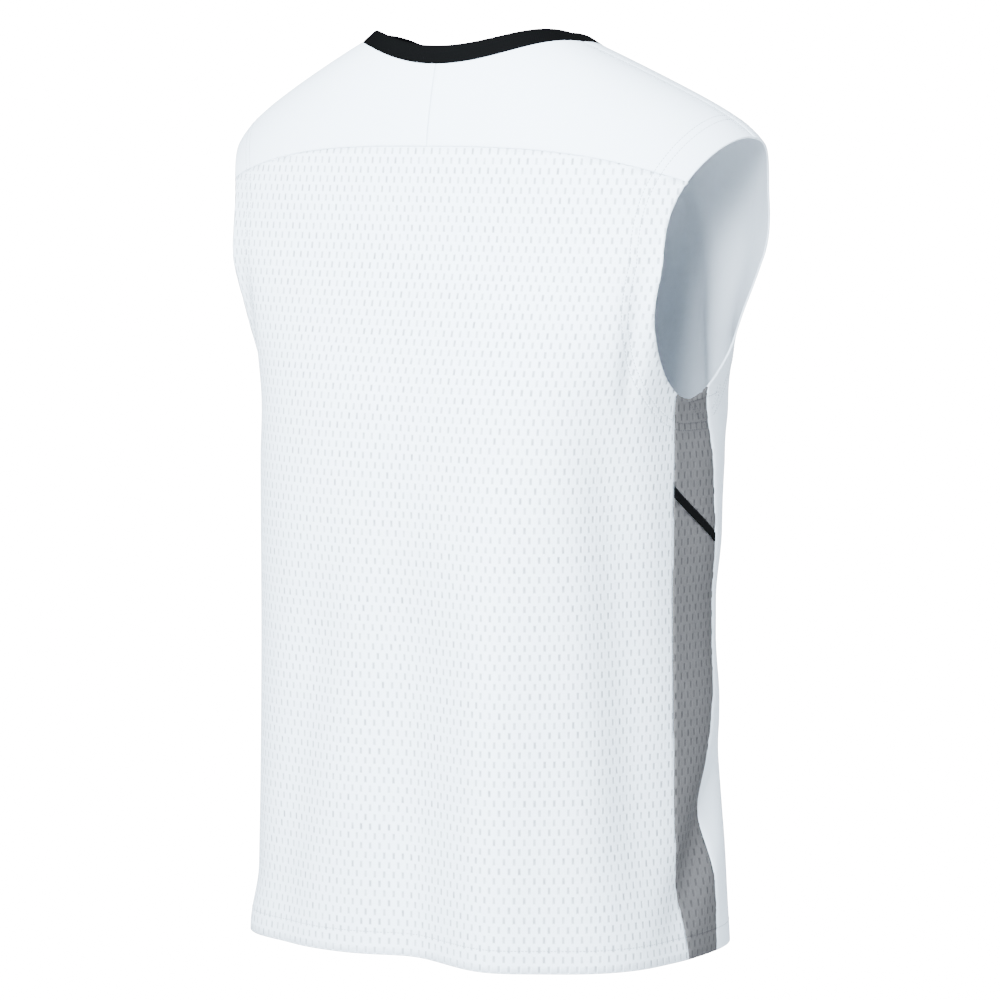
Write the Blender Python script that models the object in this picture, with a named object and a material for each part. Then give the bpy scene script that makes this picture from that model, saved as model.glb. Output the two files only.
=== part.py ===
"""Sleeveless football top, filled out as when it is worn, built from its cut pieces.

Metres, +Z up. The front faces -Y and the wearer's left is +X. The origin lies midway between the two
sides of the neck, at the height of the collar's highest edge, where the shoulders carry the garment.

Every piece lies on one shell. A place on the shell is (angle, rise): the angle goes round the body from
the centre back (0) to the centre front (180 degrees), positive toward the wearer's left. The rise is
a height in metres below CLOSING_HEIGHT, where it is negative, and above it goes from 0 to 1 at the
shoulder ridge, where front and back meet.
"""

import math
from collections import namedtuple

import bmesh
import bpy
import numpy as np

NAME = "sleeveless_football_top"

# Lengths of the garment
HEM_HEIGHT = -0.720
CLOSING_HEIGHT = -0.245
CLOSING_POWER = 2.35
BACK_PLAN_POWER = 2.9
FRONT_PLAN_POWER = 3.15
HEM_SIDE_DROP = 0.0035

# Shoulder ridge: highest at the neck, sloping to the tips and moving forward on the way
RIDGE_TOP = 0.0238
RIDGE_SLOPE = 0.523
RIDGE_ROUNDING = 0.0564
RIDGE_TIP_DROP = 0.007
RIDGE_TIP_POWER = 14
RIDGE_BACK = 0.0278
RIDGE_FORWARD = 0.0471
RIDGE_FORWARD_POWER = 1.5
SHOULDER_HALF_WIDTH = 0.228

# Neck seam, where the collar is sewn on
NECK_HALF_WIDTH = 0.100
NECK_BACK_HEIGHT = -0.0236
NECK_FRONT_HEIGHT = -0.095
NECK_BACK_POWER = 1.45
NECK_FRONT_POWER = 1.15

# Armhole, an oval seen from the side
ARMHOLE_MIDDLE_Y = -0.0142
ARMHOLE_MIDDLE_Z = -0.1814
ARMHOLE_HALF_WIDTH = 0.0776
ARMHOLE_LEAN = 0.012
ARMHOLE_HALF_HEIGHT = 0.1012
ARMHOLE_UPPER_POWER = 2.0
ARMHOLE_LOWER_POWER = 1.76
ARMHOLE_REACH = math.radians(75)

# Back yoke seam, level at the centre and lower toward the armholes
YOKE_HEIGHT = -0.088
YOKE_END_DROP = 0.027
YOKE_END_X = 0.210
YOKE_END_POWER = 3

# Side panel between its two seams, and the black stripe that slants down across it
BACK_SEAM_Y = 0.0155
FRONT_SEAM_Y = -0.0285
SEAM_HEM_SHIFT = -0.015
SEAM_SHIFT_START = -0.600
STRIPE_BACK_TOP = -0.349
STRIPE_FRONT_TOP = -0.389
STRIPE_HEIGHT = 0.009

# Cloth
CLOTH_THICKNESS = 0.0015
HEM_THICKNESS = 0.0024
HEM_FOLD = 0.018
HEM_STEP = 0.002
ARMHOLE_FOLD = 0.022
SEAM_GAP = 0.0003

# Collar strip
COLLAR_WIDTH = 0.0145
COLLAR_LIFT = math.radians(8)
COLLAR_ROUNDING = 0.0015

# Number of quads along the pieces
NECK_COLUMNS = 10
SHOULDER_COLUMNS = 6
SIDE_COLUMNS = 4
LOWER_ROWS = 14
UPPER_ROWS = 3
BACK_ARMHOLE_ROWS = 8
FRONT_ARMHOLE_ROWS = 12
YOKE_ROWS = 7
STRIPE_ROW = LOWER_ROWS + 2
EDGE_SAMPLES = 40

# Steps toward a place that has no closed formula, and the distance for a slope
APPROACH_STEPS = 30
HALVING_STEPS = 48
SLOPE_STEP = 1e-4

# Level sections through the shell. Above the underarm they run on past the armholes.
Section = namedtuple("Section", "height half_width back_depth front_depth middle")
SECTIONS = (
    Section(-0.720, 0.1900, 0.163, 0.104, -0.032),
    Section(-0.600, 0.1862, 0.163, 0.106, -0.032),
    Section(-0.500, 0.1845, 0.163, 0.107, -0.032),
    Section(-0.340, 0.1840, 0.162, 0.110, -0.031),
    Section(-0.280, 0.1860, 0.150, 0.113, -0.026),
    Section(-0.225, 0.2060, 0.126, 0.117, -0.018),
    Section(-0.170, 0.2375, 0.107, 0.121, -0.012),
    Section(-0.120, 0.2386, 0.106, 0.123, -0.012),
    Section(-0.070, 0.2435, 0.106, 0.123, -0.012),
    Section(0.050, 0.2480, 0.106, 0.123, -0.012),
)

# Largest folds. Angles and widths are in degrees and the axis runs straight from the first angle to the
# last. A fold grows from start to full, keeps its depth down to fade, and is gone at end (negative is a
# trough). An end below the hem leaves a part of the fold there.
Fold = namedtuple("Fold", "first_angle last_angle width start full fade end depth")
FOLDS = (
    Fold(-1, -3, 12, -0.20, -0.62, -0.70, -0.90, -0.014),
    Fold(-30, -27, 10, -0.20, -0.55, -0.70, -0.90, 0.011),
    Fold(-53, -66, 9, -0.23, -0.36, -0.60, -0.73, -0.009),
    Fold(-91, -91, 11, -0.25, -0.34, -0.60, -0.76, 0.008),
    Fold(-111, -110, 10, -0.28, -0.40, -0.52, -0.78, -0.013),
    Fold(-97, -90, 9, -0.46, -0.59, -0.60, -0.67, -0.005),
    Fold(-99, -68, 6.5, -0.54, -0.61, -0.64, -0.75, -0.009),
    Fold(20, 44, 8, -0.34, -0.50, -0.66, -0.80, -0.006),
    Fold(57, 59, 15, -0.67, -0.72, -0.80, -0.90, 0.006),
    Fold(76, 80, 8, -0.30, -0.42, -0.56, -0.70, -0.007),
    Fold(92, 93, 12, -0.25, -0.36, -0.50, -0.66, 0.007),
    Fold(113, 104, 8, -0.38, -0.52, -0.60, -0.80, -0.009),
    Fold(-114, -111, 12, -0.13, -0.20, -0.25, -0.34, -0.007),
    Fold(114, 111, 12, -0.13, -0.20, -0.25, -0.34, -0.007),
    Fold(174, 177, 13, -0.24, -0.60, -0.70, -0.95, -0.010),
    Fold(-154, -157, 10, -0.26, -0.56, -0.70, -0.95, 0.008),
    Fold(149, 152, 9, -0.22, -0.50, -0.70, -0.95, 0.007),
    Fold(-134, -139, 8, -0.34, -0.50, -0.66, -0.80, -0.006),
    Fold(131, 126, 8, -0.25, -0.42, -0.60, -0.80, -0.007),
)

# Cross-section of the collar strip: how far up from the neck seam, and how far out of its middle
COLLAR_PROFILE = (
    (SEAM_GAP, -0.0008),
    (SEAM_GAP, 0.0008),
    (SEAM_GAP + COLLAR_ROUNDING, 0.0013),
    (COLLAR_WIDTH / 2.0, 0.0014),
    (COLLAR_WIDTH - COLLAR_ROUNDING, 0.0013),
    (COLLAR_WIDTH, 0.0006),
    (COLLAR_WIDTH, -0.0006),
    (COLLAR_WIDTH - COLLAR_ROUNDING, -0.0013),
    (SEAM_GAP + COLLAR_ROUNDING, -0.0013),
)

# Colour (linear) and roughness of each cloth
Cloth = namedtuple("Cloth", "name colour roughness")
PLAIN_WHITE = Cloth("plain_knit_white", (0.86, 0.88, 0.90), 0.75)
MESH_WHITE = Cloth("eyelet_mesh_white", (0.80, 0.83, 0.86), 0.85)
MESH_GREY = Cloth("eyelet_mesh_grey", (0.22, 0.225, 0.24), 0.85)
PLAIN_BLACK = Cloth("plain_knit_black", (0.012, 0.012, 0.012), 0.8)
RIB_BLACK = Cloth("rib_knit_black", (0.010, 0.010, 0.010), 0.85)


def smooth_step(value):
    """0 below 0, 1 above 1 and an even S between."""
    share = np.clip(value, 0.0, 1.0)
    return share * share * (3.0 - 2.0 * share)


def section_value(height, column):
    """A column of SECTIONS at the given heights, on a smooth curve through its rows."""
    heights = np.array([row.height for row in SECTIONS])
    values = np.array([getattr(row, column) for row in SECTIONS])
    slopes = np.gradient(values, heights)
    height = np.clip(height, heights[0], heights[-1])
    low = np.clip(np.searchsorted(heights, height) - 1, 0, len(heights) - 2)
    span = heights[low + 1] - heights[low]
    share = (height - heights[low]) / span
    start = (1.0 + 2.0 * share) * (1.0 - share) ** 2
    start_slope = share * (1.0 - share) ** 2 * span
    end_slope = share**2 * (share - 1.0) * span
    return (
        values[low] * start
        + values[low + 1] * (1.0 - start)
        + slopes[low] * start_slope
        + slopes[low + 1] * end_slope
    )


def ridge_height(x):
    """Height of the shoulder ridge at a distance from the middle."""
    run = np.sqrt(x * x + RIDGE_ROUNDING**2) - RIDGE_ROUNDING
    tip = RIDGE_TIP_DROP * (np.abs(x) / SHOULDER_HALF_WIDTH) ** RIDGE_TIP_POWER
    return RIDGE_TOP - RIDGE_SLOPE * run - tip


def ridge_y(x):
    """Where the shoulder ridge lies, front to back."""
    return RIDGE_BACK - RIDGE_FORWARD * (np.abs(x) / SHOULDER_HALF_WIDTH) ** RIDGE_FORWARD_POWER


def section_depth(angle, height):
    """Half-depth of the section on the side, back or front, that the angle points to."""
    back = section_value(height, "back_depth")
    front = section_value(height, "front_depth")
    return np.where(np.cos(angle) >= 0.0, back, front)


def plan_power(angle):
    """How square the section is on the side, back or front, that the angle points to."""
    return np.where(np.cos(angle) >= 0.0, BACK_PLAN_POWER, FRONT_PLAN_POWER)


def open_section(angle, height):
    """x and y on the level section at a height, before the shoulders close it."""
    power = plan_power(angle)
    wide = np.abs(np.sin(angle)) / section_value(height, "half_width")
    deep = np.abs(np.cos(angle)) / section_depth(angle, height)
    radius = (wide**power + deep**power) ** (-1.0 / power)
    return radius * np.sin(angle), section_value(height, "middle") + radius * np.cos(angle)


def smooth_shell(angle, rise):
    """Points of the shell without its folds."""
    turn = np.clip(rise, 0.0, 1.0) * math.pi / 2.0
    climb = np.sin(turn) ** (2.0 / CLOSING_POWER)
    reach = np.abs(np.cos(turn)) ** (2.0 / CLOSING_POWER)
    height = CLOSING_HEIGHT + np.minimum(rise, 0.0)
    for _ in range(APPROACH_STEPS):
        x, y = open_section(angle, height)
        height = CLOSING_HEIGHT + np.minimum(rise, 0.0) + (ridge_height(x) - CLOSING_HEIGHT) * climb
    middle = ridge_y(x)
    y = np.where(rise > 0.0, middle + (y - middle) * reach, y)
    return np.stack([x, y, height], axis=-1)


def rise_at(angle, height):
    """Rise of the place on the shell that lies at an angle and a height."""
    x, _ = open_section(angle, height)
    climb = np.clip((height - CLOSING_HEIGHT) / (ridge_height(x) - CLOSING_HEIGHT), 0.0, 1.0)
    turn = np.arcsin(climb ** (CLOSING_POWER / 2.0))
    return np.where(height > CLOSING_HEIGHT, turn / (math.pi / 2.0), height - CLOSING_HEIGHT)


def outward(shell, angle, rise):
    """Unit normals of a shell function, pointing away from the wearer."""
    low = np.minimum(rise, 1.0 - SLOPE_STEP)
    around = shell(angle + SLOPE_STEP, rise) - shell(angle - SLOPE_STEP, rise)
    upward = shell(angle, low + SLOPE_STEP) - shell(angle, low - SLOPE_STEP)
    normal = np.cross(upward, around)
    return normal / np.linalg.norm(normal, axis=-1, keepdims=True)


def fold_depth(angle, height):
    """How far the folds push the cloth out (positive) or in."""
    total = np.zeros_like(height)
    for fold in FOLDS:
        along = np.clip((fold.start - height) / (fold.start - fold.end), 0.0, 1.0)
        axis = fold.first_angle + (fold.last_angle - fold.first_angle) * along
        off_axis = (np.degrees(angle) - axis + 180.0) % 360.0 - 180.0
        grown = smooth_step((fold.start - height) / (fold.start - fold.full))
        left = 1.0 - smooth_step((fold.fade - height) / (fold.fade - fold.end))
        total += fold.depth * grown * left * np.exp(-((off_axis / fold.width) ** 2))
    return total


def folded_shell(angle, rise):
    """Points of the outer face of the cloth."""
    points = smooth_shell(angle, rise)
    depth = fold_depth(angle, points[..., 2])
    return points + outward(smooth_shell, angle, rise) * depth[..., None]


def armhole_middle(z):
    """Middle of the armhole's oval at a height, further back toward its lower end."""
    below = np.clip((ARMHOLE_MIDDLE_Z - z) / ARMHOLE_HALF_HEIGHT, 0.0, 1.0)
    return ARMHOLE_MIDDLE_Y + ARMHOLE_LEAN * below


def armhole_offset(y, z):
    """Below 0 inside the armhole's oval, 0 on its edge."""
    across = np.abs(y - armhole_middle(z)) / ARMHOLE_HALF_WIDTH
    along = np.abs(z - ARMHOLE_MIDDLE_Z) / ARMHOLE_HALF_HEIGHT
    power = np.where(z > ARMHOLE_MIDDLE_Z, ARMHOLE_UPPER_POWER, ARMHOLE_LOWER_POWER)
    return across**power + along**power - 1.0


def armhole_angle(rise, edge_side):
    """Angle, on the wearer's left, where the cloth of the back (1) or front (-1) ends at the armhole."""
    side = np.full_like(rise, math.pi / 2.0)
    inner = side - edge_side * ARMHOLE_REACH
    for _ in range(HALVING_STEPS):
        halfway = (inner + side) / 2.0
        points = smooth_shell(halfway, rise)
        on_cloth = armhole_offset(points[..., 1], points[..., 2]) > 0.0
        inner = np.where(on_cloth, halfway, inner)
        side = np.where(on_cloth, side, halfway)
    return inner


def armhole_bottom(y):
    """Height of the armhole's lower edge at a distance from front to back."""
    height = np.full_like(np.asarray(y, dtype=float), ARMHOLE_MIDDLE_Z - ARMHOLE_HALF_HEIGHT)
    for _ in range(APPROACH_STEPS):
        across = np.abs(y - armhole_middle(height)) / ARMHOLE_HALF_WIDTH
        drop = (1.0 - across**ARMHOLE_LOWER_POWER) ** (1.0 / ARMHOLE_LOWER_POWER)
        height = ARMHOLE_MIDDLE_Z - ARMHOLE_HALF_HEIGHT * drop
    return height


def angle_at_y(y, height):
    """Angle, on the wearer's left side, of the section's point at a distance from front to back."""
    off_middle = y - section_value(height, "middle")
    facing = np.where(off_middle >= 0.0, 0.0, math.pi)
    power = plan_power(facing)
    share = (np.abs(off_middle) / section_depth(facing, height)) ** power
    x = section_value(height, "half_width") * (1.0 - share) ** (1.0 / power)
    return np.arctan2(x, off_middle)


def angle_at_x(x, rise, edge_side):
    """Angle of the back (1) or front (-1) cloth at a distance from the middle."""
    facing = np.full_like(rise, 0.0 if edge_side > 0 else math.pi)
    power = plan_power(facing)
    angle = np.arctan2(x, edge_side * SECTIONS[-1].back_depth)
    for _ in range(APPROACH_STEPS):
        height = smooth_shell(angle, rise)[..., 2]
        share = (np.abs(x) / section_value(height, "half_width")) ** power
        depth = section_depth(facing, height) * (1.0 - share) ** (1.0 / power)
        angle = np.arctan2(x, edge_side * depth)
    return angle


def places(angle, rise):
    """Pairs of angle and rise along a line."""
    return np.stack(np.broadcast_arrays(angle, rise), axis=-1)


def yoke_height(x):
    """Height of the yoke seam at a distance from the middle."""
    return YOKE_HEIGHT - YOKE_END_DROP * (np.abs(x) / YOKE_END_X) ** YOKE_END_POWER


def yoke_seam(columns):
    """The yoke seam from the centre back to the wearer's left armhole."""
    end_rise = np.array(0.5)
    for _ in range(APPROACH_STEPS):
        end_angle = armhole_angle(end_rise, 1)
        end_x = smooth_shell(end_angle, end_rise)[..., 0]
        end_rise = rise_at(end_angle, yoke_height(end_x))
    angle = np.linspace(0.0, end_angle, columns + 1)
    height = np.full_like(angle, YOKE_HEIGHT)
    for _ in range(APPROACH_STEPS):
        height = yoke_height(open_section(angle, height)[0])
    return places(angle, rise_at(angle, height))


def neck_seam(edge_side):
    """The back (1) or front (-1) half of the neck seam on the wearer's left, from the centre out."""
    centre_height, power = NECK_FRONT_HEIGHT, NECK_FRONT_POWER
    if edge_side > 0:
        centre_height, power = NECK_BACK_HEIGHT, NECK_BACK_POWER
    centre_angle = 0.0 if edge_side > 0 else math.pi
    centre_rise = rise_at(np.array(centre_angle), np.array(centre_height))
    turn = np.linspace(0.0, math.pi / 2.0, NECK_COLUMNS + 1)
    rise = 1.0 - (1.0 - centre_rise) * np.cos(turn) ** power
    return places(angle_at_x(NECK_HALF_WIDTH * np.sin(turn), rise, edge_side), rise)


def shoulder_seam(edge_side):
    """The shoulder ridge on the wearer's left, from the neck seam to the armhole."""
    ridge = np.array(1.0)
    tip_x = smooth_shell(armhole_angle(ridge, edge_side), ridge)[..., 0]
    x = np.linspace(NECK_HALF_WIDTH, tip_x, SHOULDER_COLUMNS + 1)
    return places(angle_at_x(x, np.ones_like(x), edge_side), 1.0)


def armhole_edge(start_rise, end_rise, rows, edge_side):
    """The armhole's edge on the wearer's left between two rises, in even steps of its length."""
    rise = np.linspace(start_rise, end_rise, EDGE_SAMPLES * rows)
    points = smooth_shell(armhole_angle(rise, edge_side), rise)
    steps = np.linalg.norm(np.diff(points, axis=0), axis=1)
    run = np.concatenate([[0.0], np.cumsum(steps)])
    rise = np.interp(np.linspace(0.0, run[-1], rows + 1), run, rise)
    return places(armhole_angle(rise, edge_side), rise)


def hem_line(angle):
    """Places along the hem, which hangs a little lower at the sides."""
    height = HEM_HEIGHT - HEM_SIDE_DROP * np.sin(angle) ** 2
    return places(angle, height - CLOSING_HEIGHT)


def side_seam(y, stripe_top):
    """Places up a side seam on the wearer's left; the stripe lies above its row STRIPE_ROW."""
    stripe_low = stripe_top - STRIPE_HEIGHT
    lower = np.linspace(HEM_HEIGHT + HEM_FOLD + HEM_STEP, stripe_low, LOWER_ROWS + 1)
    upper = np.linspace(stripe_top, armhole_bottom(y), UPPER_ROWS + 1)
    height = np.concatenate([[HEM_HEIGHT, HEM_HEIGHT + HEM_FOLD], lower, upper])
    shift = smooth_step((SEAM_SHIFT_START - height) / (SEAM_SHIFT_START - HEM_HEIGHT))
    seam = places(angle_at_y(y + SEAM_HEM_SHIFT * shift, height), height - CLOSING_HEIGHT)
    seam[0] = hem_line(seam[0, 0])
    return seam


def mirrored(line):
    """The same line on the wearer's other side."""
    return line * np.array([-1.0, 1.0])


def span(left, right, columns):
    """A straight line of places between two of them."""
    share = np.linspace(0.0, 1.0, columns + 1)[:, None]
    return left + (right - left) * share


def patch(low, top, first, last):
    """Places that fill the area between four edge lines; first and last run from low to top."""
    across = np.linspace(0.0, 1.0, len(low))[None, :, None]
    reach = (first[:, 1] - first[0, 1]) / (first[-1, 1] - first[0, 1])
    up = reach[:, None, None]
    sides = first[:, None] * (1.0 - across) + last[:, None] * across
    ends = low[None] * (1.0 - up) + top[None] * up
    low_corners = low[0] * (1.0 - across) + low[-1] * across
    top_corners = top[0] * (1.0 - across) + top[-1] * across
    return sides + ends - (low_corners * (1.0 - up) + top_corners * up)


def thickness(points):
    """Cloth thickness: more where the hem and the armhole edge are folded back."""
    height = points[..., 2] - HEM_HEIGHT
    hem = 1.0 - np.clip((height - HEM_FOLD) / HEM_STEP, 0.0, 1.0)
    fold_share = ARMHOLE_FOLD / ARMHOLE_HALF_WIDTH
    offset = armhole_offset(points[..., 1], points[..., 2]) / (2.0 * fold_share)
    beside = smooth_step((np.abs(points[..., 0]) - NECK_HALF_WIDTH) / ARMHOLE_FOLD)
    armhole = (1.0 - smooth_step(offset)) * beside
    return CLOTH_THICKNESS + (HEM_THICKNESS - CLOTH_THICKNESS) * np.maximum(hem, armhole)


def drawn_in(points):
    """Pulls each edge of a grid of points back by half a seam gap, toward the next row or column."""
    moved = points.copy()
    for edge, beside in ((0, 1), (-1, -2)):
        inward = points[beside] - points[edge]
        moved[edge] += inward / np.linalg.norm(inward, axis=-1, keepdims=True) * SEAM_GAP / 2.0
        inward = points[:, beside] - points[:, edge]
        moved[:, edge] += inward / np.linalg.norm(inward, axis=-1, keepdims=True) * SEAM_GAP / 2.0
    return moved


def cloth_faces(grid):
    """Outer and inner points of the cloth over a grid of places."""
    angle, rise = grid[..., 0], grid[..., 1]
    outer = folded_shell(angle, rise)
    depth = thickness(outer)[..., None]
    inner = outer - outward(folded_shell, angle, rise) * depth
    return drawn_in(outer), drawn_in(inner)


def finish(cloth):
    """The cloth's material, made once."""
    known = bpy.data.materials.get(cloth.name)
    if known:
        return known
    material = bpy.data.materials.new(cloth.name)
    material.use_nodes = True
    shader = material.node_tree.nodes["Principled BSDF"]
    shader.inputs["Base Color"].default_value = (*cloth.colour, 1.0)
    shader.inputs["Roughness"].default_value = cloth.roughness
    shader.inputs["Metallic"].default_value = 0.0
    material.diffuse_color = (*cloth.colour, 1.0)
    return material


def add_object(name, bm, cloth, collection):
    """A named object from a finished bmesh, with its faces turned outward."""
    bmesh.ops.recalc_face_normals(bm, faces=bm.faces)
    mesh = bpy.data.meshes.new(name)
    bm.to_mesh(mesh)
    bm.free()
    mesh.shade_smooth()
    mesh.materials.append(finish(cloth))
    part = bpy.data.objects.new(name, mesh)
    collection.objects.link(part)
    return part


def add_panel(name, grid, cloth, collection):
    """A piece of cloth: a flat grid, thickened, then laid on the shell."""
    rows, columns = grid.shape[0] - 1, grid.shape[1] - 1
    outer, inner = cloth_faces(grid)
    bm = bmesh.new()
    bmesh.ops.create_grid(bm, x_segments=columns, y_segments=rows, size=0.5)
    face_side = list(bm.verts)
    doubled = bmesh.ops.extrude_face_region(bm, geom=bm.faces[:], use_keep_orig=True)
    skin_side = [item for item in doubled["geom"] if isinstance(item, bmesh.types.BMVert)]
    for layer, points in ((face_side, outer), (skin_side, inner)):
        for vertex in layer:
            row = round((vertex.co.y + 0.5) * rows)
            column = round((vertex.co.x + 0.5) * columns)
            vertex.co = points[row, column]
    return add_object(name, bm, cloth, collection)


def back_grids():
    """Grids of the back panel and the two half yokes."""
    seam = side_seam(BACK_SEAM_Y, STRIPE_BACK_TOP)
    yoke_half = yoke_seam(NECK_COLUMNS + SHOULDER_COLUMNS)
    edge = armhole_edge(seam[-1, 1], yoke_half[-1, 1], BACK_ARMHOLE_ROWS, 1)
    yoke_line = np.concatenate([mirrored(yoke_half[:0:-1]), yoke_half])
    columns = len(yoke_line) - 1
    underarm = span(mirrored(seam[-1]), seam[-1], columns)
    hem = hem_line(np.linspace(-seam[0, 0], seam[0, 0], columns + 1))
    below = patch(hem, underarm, mirrored(seam), seam)
    above = patch(underarm, yoke_line, mirrored(edge), edge)
    back = np.concatenate([below, above[1:]])

    top = np.concatenate([neck_seam(1), shoulder_seam(1)[1:]])
    centre = span(yoke_half[0], top[0], YOKE_ROWS)
    shoulder_edge = armhole_edge(yoke_half[-1, 1], 1.0, YOKE_ROWS, 1)
    yoke = patch(yoke_half, top, centre, shoulder_edge)
    return back, yoke, mirrored(yoke)[:, ::-1]


def front_grid():
    """Grid of the front panel; its columns run from the wearer's left to the right."""
    seam = side_seam(FRONT_SEAM_Y, STRIPE_FRONT_TOP)
    half_top = np.concatenate([neck_seam(-1), shoulder_seam(-1)[1:]])
    full_turn = np.array([2.0 * math.pi, 0.0])
    top = np.concatenate([half_top[::-1], full_turn + mirrored(half_top[1:])])
    edge = armhole_edge(seam[-1, 1], 1.0, FRONT_ARMHOLE_ROWS, -1)
    far_seam, far_edge = full_turn + mirrored(seam), full_turn + mirrored(edge)
    columns = len(top) - 1
    underarm = span(seam[-1], far_seam[-1], columns)
    hem = hem_line(np.linspace(seam[0, 0], far_seam[0, 0], columns + 1))
    below = patch(hem, underarm, seam, far_seam)
    above = patch(underarm, top, edge, far_edge)
    return np.concatenate([below, above[1:]])


def side_grids():
    """Grids of the side panel on the wearer's left: below the stripe, the stripe and above it."""
    back = side_seam(BACK_SEAM_Y, STRIPE_BACK_TOP)
    front = side_seam(FRONT_SEAM_Y, STRIPE_FRONT_TOP)
    across = np.linspace(0.0, 1.0, SIDE_COLUMNS + 1)[None, :, None]
    grid = back[:, None] * (1.0 - across) + front[:, None] * across
    grid[0] = hem_line(grid[0, :, 0])
    y = np.linspace(BACK_SEAM_Y, FRONT_SEAM_Y, SIDE_COLUMNS + 1)
    height = armhole_bottom(y)
    grid[-1] = places(angle_at_y(y, height), height - CLOSING_HEIGHT)
    return grid[: STRIPE_ROW + 1], grid[STRIPE_ROW : STRIPE_ROW + 2], grid[STRIPE_ROW + 1 :]


def add_collar(collection):
    """The rib strip round the neck, a closed ring that goes on up from the neck seam."""
    back, front = neck_seam(1), neck_seam(-1)
    full_turn = np.array([2.0 * math.pi, 0.0])
    ring = np.concatenate([
        back[:-1],
        front[:0:-1],
        full_turn + mirrored(front[:-1]),
        full_turn + mirrored(back[:0:-1]),
    ])
    seam = folded_shell(ring[:, 0], ring[:, 1])
    normal = outward(folded_shell, ring[:, 0], ring[:, 1])
    along = np.roll(seam, -1, axis=0) - np.roll(seam, 1, axis=0)
    up = np.cross(along, normal)
    up /= np.linalg.norm(up, axis=1, keepdims=True)
    middle = seam - normal * CLOTH_THICKNESS / 2.0
    raised = up * math.cos(COLLAR_LIFT) + normal * math.sin(COLLAR_LIFT)
    across = normal * math.cos(COLLAR_LIFT) - up * math.sin(COLLAR_LIFT)

    bm = bmesh.new()
    loops = []
    for height, out in COLLAR_PROFILE:
        loops.append([bm.verts.new(point) for point in middle + raised * height + across * out])
    stations = len(ring)
    for loop, following in zip(loops, loops[1:] + loops[:1]):
        for station in range(stations):
            beyond = (station + 1) % stations
            bm.faces.new((loop[station], loop[beyond], following[beyond], following[station]))
    return add_object("collar", bm, RIB_BLACK, collection)


def clear_scene():
    """Removes what the scene starts with."""
    for part in list(bpy.data.objects):
        bpy.data.objects.remove(part, do_unlink=True)


def build():
    """Adds every piece of the top."""
    clear_scene()
    collection = bpy.data.collections.new(NAME)
    bpy.context.scene.collection.children.link(collection)

    back, yoke_left, yoke_right = back_grids()
    add_panel("back_panel", back, MESH_WHITE, collection)
    add_panel("yoke_left", yoke_left, PLAIN_WHITE, collection)
    add_panel("yoke_right", yoke_right, PLAIN_WHITE, collection)
    add_panel("front_panel", front_grid(), PLAIN_WHITE, collection)

    side_pieces = (("side_lower", MESH_GREY), ("side_stripe", PLAIN_BLACK), ("side_upper", MESH_GREY))
    for (name, cloth), grid in zip(side_pieces, side_grids()):
        add_panel(name + "_left", grid, cloth, collection)
        add_panel(name + "_right", mirrored(grid)[:, ::-1], cloth, collection)
    add_collar(collection)


build()
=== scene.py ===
"""Sleeveless football top, dressed from its cut pieces and lit as in a plain studio.

Metres, +Z up. The front faces -Y and the wearer's left is +X. Every cloth lies on one body shell. A place
on it is an angle round the body, 0 at the centre back and positive toward the wearer's left, and a rise:
metres below the closing height where it is negative, and above it 0 to 1 up to the shoulder ridge.
"""

import logging
import math
from collections.abc import Callable
from dataclasses import dataclass, field
from enum import Enum
from functools import cached_property

import bmesh
import bpy
import numpy as np
from mathutils import Matrix, Vector


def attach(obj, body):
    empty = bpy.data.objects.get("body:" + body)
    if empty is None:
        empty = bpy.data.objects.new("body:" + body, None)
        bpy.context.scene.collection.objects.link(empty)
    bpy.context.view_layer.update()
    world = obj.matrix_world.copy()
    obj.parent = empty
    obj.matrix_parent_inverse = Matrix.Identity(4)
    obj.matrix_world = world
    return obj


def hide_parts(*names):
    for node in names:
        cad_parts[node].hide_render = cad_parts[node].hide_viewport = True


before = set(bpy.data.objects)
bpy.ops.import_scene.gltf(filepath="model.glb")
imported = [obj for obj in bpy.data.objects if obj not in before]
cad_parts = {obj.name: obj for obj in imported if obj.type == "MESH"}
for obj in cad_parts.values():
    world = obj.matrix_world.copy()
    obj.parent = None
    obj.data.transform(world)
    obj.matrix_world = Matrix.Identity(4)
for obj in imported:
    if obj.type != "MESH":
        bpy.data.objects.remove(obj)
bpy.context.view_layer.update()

LOG = logging.getLogger("football_top")
FULL_TURN = 2.0 * math.pi
ONCE_ROUND = np.array([FULL_TURN, 0.0])
# Rows of stitches from the armhole's edge and above the hem, a small step over the shell, the rounds of every
# search for a place, the reach within which two points touch, and a shift that keeps cloth widths above 0.
ARMHOLE_ROWS = (0.0200, 0.0255)
HEM_ROW = 0.0180
STEP = 1e-4
ROUNDS = 30
TOUCHING = 1e-7
UV_SHIFT = 0.5

Grid = np.ndarray
Pair = tuple[float, float]
Triple = tuple[float, float, float]
Edges = Callable[[Grid], tuple[Grid, Grid]]
Socket = bpy.types.NodeSocket
Inputs = dict[str | int, Socket | float | tuple[float, ...] | None]


class Side(Enum):
    """The wearer's two sides."""

    LEFT = 1
    RIGHT = -1


class Half(Enum):
    """The cloth behind or in front of the shoulder ridge."""

    BACK = 1
    FRONT = -1


class Use(Enum):
    """What a finish dresses."""

    CLOTH = "cloth"
    # The white cloth's inside faces, painted a darker, bluer white as their shade.
    INSIDE = "inside"
    THREAD = "thread"


@dataclass(frozen=True)
class Section:
    """A level section through the body."""

    height: float
    half_width: float
    back_depth: float
    front_depth: float
    middle: float


@dataclass(frozen=True)
class Fold:
    """A soft fold that runs down the cloth; a negative depth is a trough. Angles are in degrees."""

    first_angle: float
    last_angle: float
    width: float
    start: float
    full: float
    fade: float
    end: float
    depth: float


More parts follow.
